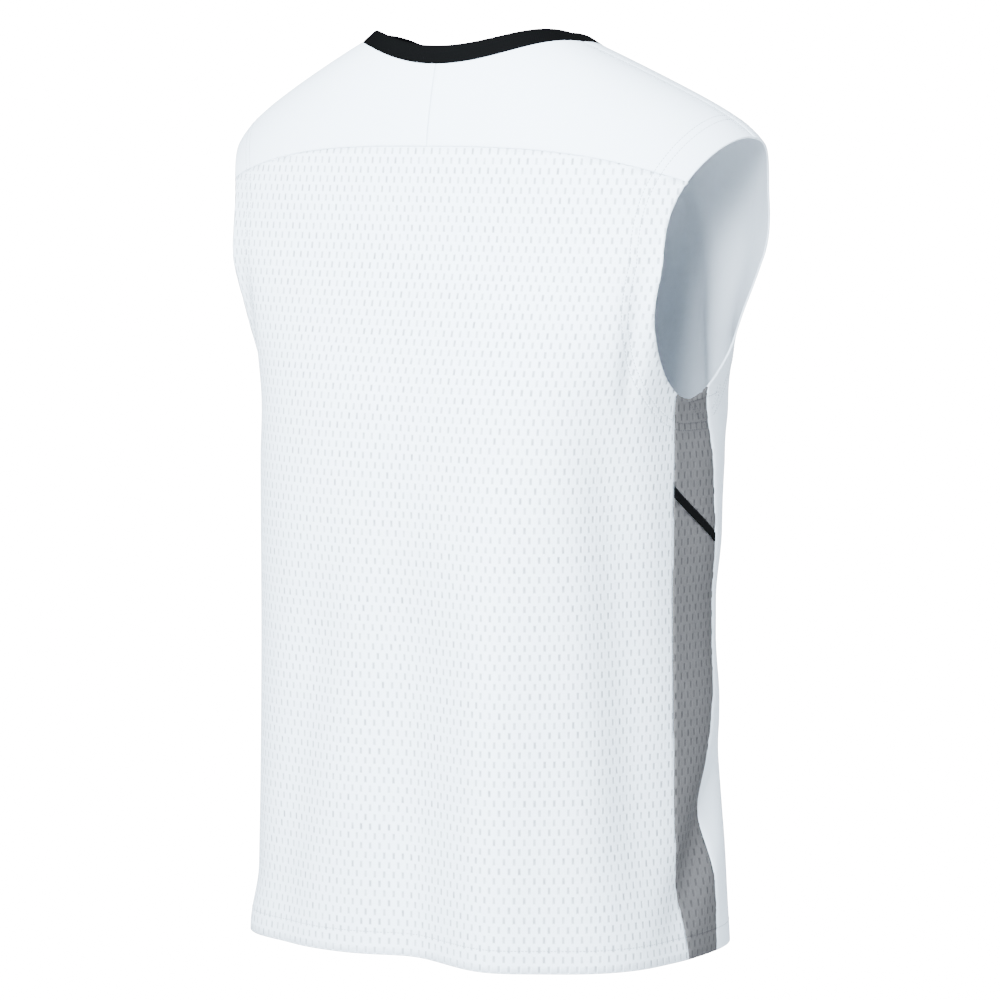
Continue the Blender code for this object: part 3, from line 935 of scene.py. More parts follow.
def knit_surface() -> bpy.types.NodeTree:
    """Colour and relief of knit: lower in its eyelets, loops and seams, darker with painted shade in its eyelets
    and between its loops, and faintly uneven.

    Returns:
        The effect's node group.
    """
    dye_and_painted_shade = {"Cloth": None, "Base": (0.8, 0.8, 0.8, 1.0), "Grain Shade": 0.95, "Eyelet Shade": 1.0}
    relief = {"Grain": 0.5, "Eyelet": 0.0, "Rim": 0.42, "Dip": 0.0, "Sink": -2.0}
    effect = Effect("knit_surface", dye_and_painted_shade | relief, {"Colour": "NodeSocketColor", "Height": "NodeSocketFloat"})
    # Painted shade: the colour keeps only Eyelet Shade of the light in the eyelets, at a random strength.
    beyond = effect.math("MAXIMUM", effect.math("SUBTRACT", "Eyelet", "Rim"), 0.0)
    hole = effect.math("DIVIDE", beyond, effect.math("SUBTRACT", 1.0, "Rim"))
    uneven_eyelet_shade = effect.uneven(scale=95.0, detail=1.0, amount=1.6)
    shade = effect.math("MULTIPLY", effect.math("SUBTRACT", 1.0, "Eyelet Shade"), uneven_eyelet_shade)
    kept = effect.math("SUBTRACT", 1.0, effect.math("MULTIPLY", hole, shade))
    # Painted shade: the hollows between the loops darken down to Grain Shade.
    loop_hollow_shade = effect.math("MULTIPLY_ADD", "Grain", effect.math("SUBTRACT", 1.0, "Grain Shade"), "Grain Shade")
    cloudy = effect.uneven(scale=14.0, detail=3.0, amount=0.03)
    tone = effect.math("MULTIPLY", effect.math("MULTIPLY", cloudy, kept), loop_hollow_shade)
    shaded_dye = {0: effect.source["Base"], "Scale": tone}
    effect.give("Colour", add_node(effect.tree, "ShaderNodeVectorMath", shaded_dye, operation="SCALE").outputs[0])
    sunk = effect.math("MULTIPLY_ADD", "Dip", "Sink", "Grain")
    effect.give("Height", effect.math("MULTIPLY_ADD", hole, "Sink", sunk))
    return effect.tree


@dataclass(frozen=True)
class Finish:
    """A cloth's material and the record's slot that it stands for."""

    slot: str
    material: bpy.types.Material


class Wardrobe:
    """Every finish of the top."""

    roughness = 0.80
    course_share = 0.9

    def __init__(self) -> None:
        """Builds the shared effects and the five cloths, and the white ones' inside and the two threads, painted
        darker as shade.
        """
        self.loops, self.troughs, self.surface = knit_loops(), sewn_lines(), knit_surface()
        white, mesh_white, grey = (0.855, 0.912, 0.975), (0.850, 0.905, 0.965), (0.105, 0.0985, 0.0975)
        black, rib_black = (0.003, 0.003, 0.003), (0.002, 0.002, 0.002)
        # The last number of each eyelet mesh is the light its eyelets keep, as painted shade.
        self.plain_white = self.knit("plain_knit_white", Use.CLOTH, white, 0.20, 0.0007, 0.00005)
        self.mesh_white = self.knit("eyelet_mesh_white", Use.CLOTH, mesh_white, 0.20, 0.0010, 0.00010, 0.52)
        self.mesh_grey = self.knit("eyelet_mesh_grey", Use.CLOTH, grey, 0.05, 0.0010, 0.00010, 0.67)
        self.plain_black = self.knit("plain_knit_black", Use.CLOTH, black, 0.02, 0.0007, 0.00005)
        self.rib_black = self.knit("rib_knit_black", Use.CLOTH, rib_black, 0.01, 0.0008, 0.00008)
        # The inside faces get a darker, bluer copy of the white: painted shade.
        inside_painted_shade, pale, grey_thread_shade = (0.64, 0.675, 0.72), (0.40, 0.435, 0.47), (0.055, 0.053, 0.053)
        self.white_inside = self.knit("plain_knit_white", Use.INSIDE, inside_painted_shade, 0.05, 0.0010, 0.00005)
        # The threads are darker than their cloths: painted shade of the stitches.
        self.shaded_white_thread = self.knit("plain_knit_white", Use.THREAD, pale, 0.20, 0.25, 0.00004)
        self.shaded_grey_thread = self.knit("eyelet_mesh_grey", Use.THREAD, grey_thread_shade, 0.05, 0.25, 0.00004)

    def knit(
        self, slot: str, use: Use, colour: Triple, shine: float, wale: float, depth: float, eyelet: float = 1.0
    ) -> Finish:
        """Builds one knitted cloth or twisted thread.

        Args:
            slot: the record's material slot.
            use: what the finish dresses, which tells its material from the slot's own.
            colour: linear base colour.
            shine: strength of the fibres' shine.
            wale: width of a wale.
            depth: depth of the loops.
            eyelet: how much light an eyelet keeps.

        Returns:
            The finish.
        """
        material = bpy.data.materials.new(f"{slot}_{use.value}")
        material.use_nodes = True
        tree, base = material.node_tree, (*colour, 1.0)
        cloth = add_node(tree, "ShaderNodeUVMap", {}, uv_map="cloth").outputs[0]
        sizes = {"Cloth": cloth, "Wale": wale, "Course": wale * self.course_share}
        loops = add_node(tree, "ShaderNodeGroup", sizes, node_tree=self.loops)
        values = {"Base": base, "Cloth": cloth, "Grain": loops.outputs["Height"], "Eyelet Shade": eyelet}
        if use is not Use.THREAD:
            stored = {
                name: add_node(tree, "ShaderNodeAttribute", {}, attribute_name=name).outputs["Fac"]
                for name in ("edge_run", "hem_run", "eyelet")
            }
            runs = {"Run": stored["edge_run"], "Hem": stored["hem_run"]}
            values["Dip"] = add_node(tree, "ShaderNodeGroup", runs, node_tree=self.troughs).outputs["Dip"]
            values["Eyelet"] = stored["eyelet"]
        surface = add_node(tree, "ShaderNodeGroup", values, node_tree=self.surface).outputs
        relief = {"Strength": 1.0, "Distance": depth, "Height": surface["Height"]}
        bump = add_node(tree, "ShaderNodeBump", relief)
        fibres = {"Roughness": self.roughness, "Metallic": 0.0, "Specular IOR Level": shine}
        shader = tree.nodes["Principled BSDF"]
        shader.inputs["Base Color"].default_value = base
        plug(tree, shader, fibres | {"Base Color": surface["Colour"], "Normal": bump.outputs["Normal"]})
        return Finish(slot, material)


@dataclass
class Piece:
    """What every cloth piece of the top has: its name, its node, its finish and its place on the shell."""

    name: str
    nodes: tuple[str, ...]
    finish: Finish
    lines: CutLines
    # The inside faces' finish, a darker white that paints their shade.
    inside: Finish | None = None
    thickness: float = 0.0010
    turned_thickness: float = 0.0016
    seam_groove: float = 0.0007
    free_edge: float = 0.0006
    edge_clear: float = 0.0
    armhole_reach: Pair = (0.12, -0.33)
    batch: int = 4000

    @property
    def shell(self) -> BodyShell:
        """The body shell."""
        return self.lines.shell

    def object_from(self, bm: bmesh.types.BMesh) -> bpy.types.Object:
        """Turns a finished bmesh into the piece's object, dressed and riding on the top.

        Args:
            bm: the piece's mesh.

        Returns:
            The piece.
        """
        mesh = mesh_from(bm, self.name)
        mesh.shade_smooth()
        mesh.materials.append(self.finish.material)
        # The second slot dresses the inside faces in painted shade.
        if self.inside:
            mesh.materials.append(self.inside.material)
        piece = linked(self.name, mesh)
        if self.nodes:
            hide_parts(*self.nodes)
        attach(piece, "root")
        return piece

    def cloth_from(self, bm: bmesh.types.BMesh, run: Grid, hem_run: Grid) -> bpy.types.Object:
        """Gives a cloth its thickness, with more where an edge is turned back.

        Args:
            bm: the cloth's outer face.
            run: distance of each vertex from the armholes.
            hem_run: distance of each vertex from the hem.

        Returns:
            The piece.
        """
        piece = self.object_from(bm)
        for name, values in (("edge_run", run + self.edge_clear), ("hem_run", hem_run)):
            layer = piece.data.attributes.new(name, "FLOAT", "POINT")
            layer.data.foreach_set("value", values.astype(np.float32))
        group = piece.vertex_groups.new(name="turned")
        turned = np.nonzero((run < ARMHOLE_ROWS[1]) | (hem_run < HEM_ROW))[0]
        group.add(turned.tolist(), 1.0, "REPLACE")
        solid = piece.modifiers.new("thickness", "SOLIDIFY")
        solid.thickness = self.turned_thickness
        solid.thickness_vertex_group = self.thickness / self.turned_thickness
        solid.vertex_group = group.name
        solid.offset = -1.0
        solid.use_even_offset = True
        if self.inside:
            solid.material_offset = 1
        return piece

    def armhole_run(self, points: Grid) -> Grid:
        """Distance of points from the nearest armhole edge.

        Args:
            points: points of the smooth shell.

        Returns:
            The distances, or 1 where the armholes are far.
        """
        ring, run = self.lines.armhole_points, np.ones(len(points))
        least_x, least_z = self.armhole_reach
        near = np.nonzero((np.abs(points[:, 0]) > least_x) & (points[:, 2] > least_z))[0]
        for start in range(0, len(near), self.batch):
            some = near[start : start + self.batch]
            left = points[some].copy()
            left[:, 0] = np.abs(left[:, 0])
            run[some] = np.linalg.norm(left[:, None] - ring[None], axis=2).min(axis=1)
        return run


@dataclass
class MeshPiece(Piece):
    """A piece of eyelet mesh, cut flat to its outline and laid level round the body."""

    column_pitch: float = 0.0073
    row_pitch: float = 0.0075
    eyelet_margin: float = 0.00125
    eyelet_share: float = 0.80
    eyelet_depth: float = 0.0002
    hem_blend: float = 0.08
    nearly: float = 1e-6
    past_hem: float = -1.0

    def cell(self, face: bmesh.types.BMFace) -> tuple[int, int]:
        """Column and row of the lattice that a flat face lies in."""
        centre = face.calc_center_median()
        return math.floor(centre.x / (self.column_pitch / 2.0)), math.floor(centre.y / self.row_pitch)

    def lattice(self, first: int, last: int, low: int, top: int) -> bmesh.types.BMesh:
        """Flat mesh with an eyelet in every other cell.

        Args:
            first: column line at its left.
            last: column line at its right.
            low: lowest row line.
            top: highest row line.

        Returns:
            The flat cloth.
        """
        half, pitch, columns, rows = self.column_pitch / 2.0, self.row_pitch, last - first, top - low
        bm = bmesh.new()
        bmesh.ops.create_grid(bm, x_segments=columns, y_segments=rows, size=0.5)
        bmesh.ops.scale(bm, vec=(columns * half, rows * pitch, 1.0), verts=bm.verts)
        middle = ((first + columns / 2.0) * half, (low + rows / 2.0) * pitch, 0.0)
        bmesh.ops.translate(bm, vec=middle, verts=bm.verts)
        eyelets = [face for face in bm.faces if sum(self.cell(face)) % 2 == 0]
        # 1 on each eyelet's floor, which the shader sinks and darkens with painted shade.
        mask = bm.verts.layers.float.new("eyelet")
        bmesh.ops.inset_individual(
            bm, faces=eyelets, thickness=self.eyelet_margin, depth=-self.eyelet_depth, use_even_offset=True
        )
        for face in eyelets:
            centre = face.calc_center_median()
            for vertex in face.verts:
                vertex[mask] = 1.0
                vertex.co.y = centre.y + (vertex.co.y - centre.y) * self.eyelet_share
        return bm

    def cut(self, sides: Edges, ends: Edges, width: Pair, length: Pair) -> bmesh.types.BMesh:
        """Flat mesh with its eyelets, cut to an outline.

        Args:
            sides: gives the left and right widths at lengths.
            ends: gives the low and top lengths at widths.
            width: lowest and highest width of the whole piece.
            length: lowest and highest length of the whole piece.

        Returns:
            The flat cloth, x its width, y its length and z out of its face.
        """
        half, pitch = self.column_pitch / 2.0, self.row_pitch
        first, last = math.floor(width[0] / half), math.ceil(width[1] / half)
        low, top = math.floor(length[0] / pitch + self.nearly), math.ceil(length[1] / pitch)
        bm = self.lattice(first, last, low, top)
        row_lines, column_lines = np.arange(low, top + 1) * pitch, np.arange(first, last + 1) * half
        outline = ((row_lines, sides(row_lines), 1), (column_lines, ends(column_lines), 0))
        for knots, pair, axis in outline:
            for edge, outside in zip(pair, (-1.0, 1.0)):
                self.snip(bm, knots, edge, axis, outside)
        loose = []
        for face in bm.faces:
            centre = face.calc_center_median()
            for knots, pair, axis in outline:
                least, most = (np.interp(centre[axis], knots, edge) for edge in pair)
                if not least < centre[1 - axis] < most:
                    loose.append(face)
                    break
        bmesh.ops.delete(bm, geom=loose, context="FACES")
        return bm

    def snip(self, bm: bmesh.types.BMesh, knots: Grid, edge: Grid, axis: int, outside: float) -> None:
        """Cuts the flat cloth along one edge of its outline, band by band.

        Args:
            bm: the flat cloth.
            knots: where the bands meet.
            edge: where the edge lies at each knot.
            axis: 1 where the bands are rows, 0 where they are columns.
            outside: 1 where the outside lies toward higher values.
        """
        bands = [[] for _ in knots[1:]]
        for face in bm.faces:
            band = int(np.searchsorted(knots, face.calc_center_median()[axis])) - 1
            if 0 <= band < len(bands):
                reach = [vertex.co[1 - axis] for vertex in face.verts]
                if min(reach) < max(edge[band : band + 2]) and max(reach) > min(edge[band : band + 2]):
                    bands[band].append(face)
        for band, faces in enumerate(bands):
            start, end = Vector(), Vector()
            start[axis], end[axis] = knots[band : band + 2]
            start[1 - axis], end[1 - axis] = edge[band : band + 2]
            plane = (end - start).cross(Vector((0.0, 0.0, 1.0))) * outside
            geometry = set(faces)
            for face in faces:
                geometry.update(face.edges, face.verts)
            if faces:
                bmesh.ops.bisect_plane(
                    bm, geom=list(geometry), dist=TOUCHING, plane_co=start, plane_no=plane.normalized()
                )

    def lay(self, bm: bmesh.types.BMesh, cloth: LevelCloth, side: Side = Side.LEFT) -> bpy.types.Object:
        """Lays the flat cloth on the shell and gives it its thickness.

        Args:
            bm: the flat cloth.
            cloth: its place on the shell.
            side: which of the wearer's sides it lies on.

        Returns:
            The piece.
        """
        shell = self.shell
        uv = bm.loops.layers.uv.new("cloth")
        for face in bm.faces:
            for loop in face.loops:
                loop[uv].uv = (loop.vert.co.x + UV_SHIFT, loop.vert.co.y)
        bm.verts.ensure_lookup_table()
        width, length, out = np.array([vertex.co for vertex in bm.verts]).T
        height = cloth.height_at(length)
        angle = cloth.angle_at(width, height)
        near_hem = 1.0 - smooth_step((height - shell.hem_height) / self.hem_blend)
        height = height - shell.hem_drop * np.sin(angle) ** 2 * near_hem
        angle = angle * side.value
        rise = shell.rise_at(angle, height)
        run = self.armhole_run(shell.smooth(angle, rise))
        free = (run < self.free_edge) | (length < self.nearly)
        sewn = np.array([vertex.is_boundary for vertex in bm.verts]) & ~free
        for vertex, point in zip(bm.verts, shell.laid(angle, rise, out - self.seam_groove * sewn)):
            vertex.co = point
        if side is Side.LEFT:
            bmesh.ops.reverse_faces(bm, faces=bm.faces)
        return self.cloth_from(bm, run, length)


@dataclass
class BackPanel(MeshPiece):
    """The mesh back between the side seams, from the hem to the yoke seam and the armholes."""

    seam_columns: int = 120
    side_rows: int = 260
    reach: float = math.radians(110)
    spare: float = 0.0004

    def build(self) -> bpy.types.Object:
        """Cuts and lays the back.

        Returns:
            The piece.
        """
        lines, shell = self.lines, self.shell
        seam = lines.yoke_seam(self.seam_columns)
        seam_height = shell.smooth(seam[:, 0], seam[:, 1])[:, 2]
        top = float(seam_height[0])
        cloth = LevelCloth(shell, shell.hem_height, top + self.spare, -self.reach, 0.0, self.reach)
        heights = np.linspace(shell.hem_height, top, self.side_rows)
        under = heights <= lines.armhole_bottom(lines.back_seam_y)
        ridge = int(np.argmax(lines.armhole_points[:, 2]))
        beside = np.interp(heights[~under], lines.armhole_points[:ridge, 2], lines.armhole_ring[:ridge, 0])
        angles = np.concatenate([lines.seam_angle(lines.back_seam_y, heights[under]), beside])
        widths, lengths = cloth.width_at(angles, heights), cloth.length_at(heights)
        seam_width, seam_length = cloth.width_at(seam[:, 0], seam_height), cloth.length_at(seam_height)

        def sides(length: Grid) -> tuple[Grid, Grid]:
            """Left and right edges at lengths."""
            right = np.interp(length, lengths, widths)
            return -right, right

        def ends(width: Grid) -> tuple[Grid, Grid]:
            """Hem and yoke seam at widths."""
            return np.full_like(width, self.past_hem), np.interp(np.abs(width), seam_width, seam_length)

        widest = float(widths.max())
        bm = self.cut(sides, ends, (-widest, widest), (0.0, float(lengths[-1])))
        piece = self.lay(bm, cloth)
        return piece


@dataclass
class PlainPiece(Piece):
    """A piece of smooth knit that fills the area between four edge lines."""

    margin: float = 0.0012
    margin_share: float = 0.5
    least_gap: float = 1e-6
    hem_reach: float = 1e-4

    def patch(self, low: Grid, top: Grid, first: Grid, last: Grid) -> Grid:
        """Fills the area between four edge lines.

        Args:
            low: the lower edge, from first to last.
            top: the upper edge, from first to last.
            first: the edge at the smallest angles, from low to top.
            last: the edge at the greatest angles, from low to top.

        Returns:
            Places by row and column.
        """
        across = np.linspace(0.0, 1.0, len(low))[None, :, None]
        up = ((first[:, 1] - first[0, 1]) / (first[-1, 1] - first[0, 1]))[:, None, None]
        sides = first[:, None] * (1.0 - across) + last[:, None] * across
        ends = low[None] * (1.0 - up) + top[None] * up
        low_corners = low[0] * (1.0 - across) + low[-1] * across
        top_corners = top[0] * (1.0 - across) + top[-1] * across
        return sides + ends - (low_corners * (1.0 - up) + top_corners * up)

    def with_margins(self, grid: Grid) -> Grid:
        """Adds a line of places close to each edge, so that a seam can turn in there.

        Args:
            grid: places by row and column.

        Returns:
            The places with the four lines added.
        """
        for axis in (0, 1):
            grid = np.swapaxes(grid, 0, axis)
            for _ in range(2):
                near, beyond = (self.shell.smooth(line[:, 0], line[:, 1]) for line in grid[:2])
                gap = np.maximum(np.linalg.norm(beyond - near, axis=1), self.least_gap)
                share = np.minimum(self.margin / gap, self.margin_share)[:, None]
                line = grid[0] * (1.0 - share) + grid[1] * share
                grid = np.concatenate([grid[:1], line[None], grid[1:]])[::-1]
            grid = np.swapaxes(grid, 0, axis)
        return grid

    def lay(self, grid: Grid, side: Side = Side.LEFT) -> bpy.types.Object:
        """Lays a grid of places on the shell and gives the cloth its thickness.

        Args:
            grid: places on the wearer's left or round the front, from the lowest row up.
            side: which of the wearer's sides the piece lies on.

        Returns:
            The piece.
        """
        grid = self.with_margins(grid if side is Side.LEFT else mirrored(grid))
        rows, columns = grid.shape[0] - 1, grid.shape[1] - 1
        angle, rise = grid[..., 0], grid[..., 1]
        smooth = self.shell.smooth(angle, rise)
        run = self.armhole_run(smooth.reshape(-1, 3)).reshape(angle.shape)
        hem_run = smooth[..., 2] - self.shell.hem_height
        rim = np.ones(angle.shape, dtype=bool)
        rim[1:-1, 1:-1] = False
        sewn = rim & (run > self.free_edge) & (hem_run >= self.hem_reach)
        points = self.shell.laid(angle, rise, -self.seam_groove * sewn)
        across, up = run_along(smooth, 1), run_along(smooth)
        across -= across[:, columns // 2][:, None]
        bm = bmesh.new()
        bmesh.ops.create_grid(bm, x_segments=columns, y_segments=rows, size=0.5)
        uv = bm.loops.layers.uv.new("cloth")
        knots = {
            vertex: (round((vertex.co.y + 0.5) * rows), round((vertex.co.x + 0.5) * columns)) for vertex in bm.verts
        }
        for face in bm.faces:
            for loop in face.loops:
                knot = knots[loop.vert]
                loop[uv].uv = (across[knot] + UV_SHIFT, up[knot])
        for vertex, knot in knots.items():
            vertex.co = points[knot]
        if side is Side.LEFT:
            bmesh.ops.reverse_faces(bm, faces=bm.faces)
        order = tuple(np.array(list(knots.values())).T)
        return self.cloth_from(bm, run[order], hem_run[order])


@dataclass
class FrontPanel(PlainPiece):
    """The plain front, one piece from side seam to side seam and up to the neck and the shoulders."""

    neck_columns: int = 26
    shoulder_columns: int = 20
    lower_rows: int = 64
    armhole_rows: int = 48

    def build(self) -> bpy.types.Object:
        """Lays the front.

        Returns:
            The piece.
        """
        lines = self.lines
        seam = lines.side_seam(lines.front_seam_y, self.lower_rows)
        neck = lines.neck_seam(Half.FRONT, self.neck_columns)
        half_top = np.concatenate([neck, lines.shoulder_seam(Half.FRONT, self.shoulder_columns)[1:]])
        top = np.concatenate([half_top[::-1], far_side(half_top[1:])])
        edge = lines.armhole_edge(seam[-1, 1], self.armhole_rows, Half.FRONT)
        share = np.linspace(0.0, 1.0, len(top))[:, None]
        underarm = seam[-1] * (1.0 - share) + far_side(seam[-1]) * share
        hem = lines.hem_line(np.linspace(seam[0, 0], far_side(seam)[0, 0], len(top)))
        below = self.patch(hem, underarm, seam, far_side(seam))
        above = self.patch(underarm, top, edge, far_side(edge))
        piece = self.lay(np.concatenate([below, above[1:]]))
        return piece


@dataclass
class HalfYoke(PlainPiece):
    """One half of the plain back yoke, from the centre-back seam to the armhole and the shoulder seam."""

    side: Side = Side.LEFT
    neck_columns: int = 30
    shoulder_columns: int = 24
    rows: int = 26

    def build(self) -> bpy.types.Object:
        """Lays the half yoke.

        Returns:
            The piece.
        """
        lines = self.lines
        seam = lines.yoke_seam(self.neck_columns + self.shoulder_columns)
        neck = lines.neck_seam(Half.BACK, self.neck_columns)
        top = np.concatenate([neck, lines.shoulder_seam(Half.BACK, self.shoulder_columns)[1:]])
        share = np.linspace(0.0, 1.0, self.rows + 1)[:, None]
        centre = seam[0] * (1.0 - share) + top[0] * share
        edge = lines.armhole_edge(seam[-1, 1], self.rows, Half.BACK)
        piece = self.lay(self.patch(seam, top, centre, edge), self.side)
        return piece


@dataclass
class SidePanel(MeshPiece):
    """One part of the grey mesh side panel, below or above the stripe."""

    edge_clear: float = 1.0
    side: Side = Side.LEFT
    upper: bool = False
    end_places: int = 41
    side_rows: int = 120
    reach: Triple = (math.radians(60), math.pi / 2, math.radians(120))
    spare: float = 0.001

    def build(self) -> bpy.types.Object:
        """Cuts and lays the part.

        Returns:
            The piece.
        """
        lines, shell = self.lines, self.shell
        y = np.linspace(lines.back_seam_y, lines.front_seam_y, self.end_places)
        top = lines.armhole_bottom(y) if self.upper else lines.stripe_top(y) - lines.stripe_height
        bottom = lines.stripe_top(y) if self.upper else np.full_like(y, shell.hem_height)
        cloth = LevelCloth(shell, shell.hem_height, float(top.max()) + self.spare, *self.reach)
        heights = np.linspace(float(bottom.min()), float(top.max()), self.side_rows)
        seams = [cloth.width_at(lines.seam_angle(at, heights), heights) for at in (y[0], y[-1])]
        outer = [(cloth.width_at(lines.seam_angle(y, line), line), cloth.length_at(line)) for line in (bottom, top)]
        lengths = cloth.length_at(heights)

        def sides(length: Grid) -> tuple[Grid, Grid]:
            """Back and front seams at lengths."""
            back, front = (np.interp(length, lengths, seam) for seam in seams)
            return back, front

        def ends(width: Grid) -> tuple[Grid, Grid]:
            """Lower and upper edges at widths."""
            low, high = (np.interp(width, *line) for line in outer)
            return low if self.upper else np.full_like(width, self.past_hem), high

        width = float(np.min(seams)), float(np.max(seams))
        bm = self.cut(sides, ends, width, (float(lengths[0]), float(lengths[-1])))
        piece = self.lay(bm, cloth, self.side)
        return piece


@dataclass
class SideStripe(PlainPiece):
    """The black stripe that slants down across a side panel, toward the front."""

    side: Side = Side.LEFT
    columns: int = 16
    rows: int = 4

    def build(self) -> bpy.types.Object:
        """Lays the stripe.

        Returns:
            The piece.
        """
        lines = self.lines
        y = np.linspace(lines.back_seam_y, lines.front_seam_y, self.columns + 1)
        share = np.linspace(0.0, 1.0, self.rows + 1)[:, None]
        height = lines.stripe_top(y)[None] - lines.stripe_height * (1.0 - share)
        piece = self.lay(places(lines.seam_angle(y, height), height - self.shell.closing_height), self.side)
        return piece


@dataclass
class Collar(Piece):
    """The black rib strip round the neck, folded double and sewn to the neck seam."""

    width: float = 0.0145
    lift: float = math.radians(8)
    half_thickness: float = 0.0013
    rib_pitch: float = 0.0017
    rib_depth: float = 0.00018
    quarter_stations: int = 190
    smoothing: int = 12
    look_ahead: int = 4

    def ring(self) -> Grid:
        """Places round the neck seam, from the centre back to the wearer's left and round."""
        back, front = (self.lines.neck_seam(half, self.quarter_stations) for half in Half)
        return np.concatenate([back[:-1], front[:0:-1], far_side(front[:-1]), far_side(back[:0:-1])])

    def profile(self) -> tuple[Triple, ...]:
        """Cross-section of the strip, up its outer face and down its inner one.

        Returns:
            For each point its height, its distance out of the middle and how strongly it ribs.
        """
        top, out = self.width, self.half_thickness
        foot = ((-0.0004, 0.0004, 0.0), (0.0006, out * 0.8, 0.6))
        face = ((0.0020, out, 1.0), (top * 0.45, out * 1.05, 1.0), (top - 0.0022, out, 1.0))
        edge = ((top - 0.0008, out * 0.75, 0.8), (top, out * 0.25, 0.3))
        inner = tuple((height, -off, ribbed) for height, off, ribbed in (*face, *edge))[::-1]
        return (*foot, *face, *edge, *inner, (-0.0004, -out * 0.8, 0.0))

    def build(self) -> bpy.types.Object:
        """Turns the strip's cross-section round the neck.

        Returns:
            The piece.
        """
        shell, ring, profile = self.shell, self.ring(), self.profile()
        ring = np.concatenate([ring, ring[:1]])
        points, facing = shell.folded(*ring.T), shell.outward(shell.folded, *ring.T)
        run = run_along(points)
        stations = 4 * round(run[-1] / self.rib_pitch)
        stops = np.linspace(0.0, run[-1], stations + 1)[:-1]
        seam, normal = (
            np.stack([np.interp(stops, run, line) for line in lines.T], axis=1) for lines in (points, facing)
        )
        for _ in range(self.smoothing):
            normal = (np.roll(normal, 1, axis=0) + 2.0 * normal + np.roll(normal, -1, axis=0)) / 4.0
        normal = unit(normal)
        along = np.roll(seam, -self.look_ahead, axis=0) - np.roll(seam, self.look_ahead, axis=0)
        up = unit(np.cross(along, normal))
        middle = seam - normal * self.half_thickness
        raised = up * math.cos(self.lift) + normal * math.sin(self.lift)
        across = normal * math.cos(self.lift) - up * math.sin(self.lift)
        rib = np.where(np.arange(stations) // 2 % 2 == 0, 1.0, -1.0)
        bm = bmesh.new()
        bmesh.ops.create_grid(bm, x_segments=stations, y_segments=len(profile), size=0.5)
        uv = bm.loops.layers.uv.new("cloth")
        for face in bm.faces:
            for loop in face.loops:
                flat = loop.vert.co
                loop[uv].uv = ((flat.x + 0.5) * run[-1], (flat.y + 0.5) * self.width * 2.0)
        for vertex in bm.verts:
            row = round((vertex.co.y + 0.5) * len(profile)) % len(profile)
            station = round((vertex.co.x + 0.5) * stations) % stations
            height, out, ribbed = profile[row]
            out += math.copysign(self.rib_depth, out) * ribbed * rib[station] / 2.0
            vertex.co = middle[station] + raised[station] * height + across[station] * out
        bmesh.ops.remove_doubles(bm, verts=bm.verts, dist=TOUCHING)
        bmesh.ops.recalc_face_normals(bm, faces=bm.faces)
        piece = self.object_from(bm)
        return piece


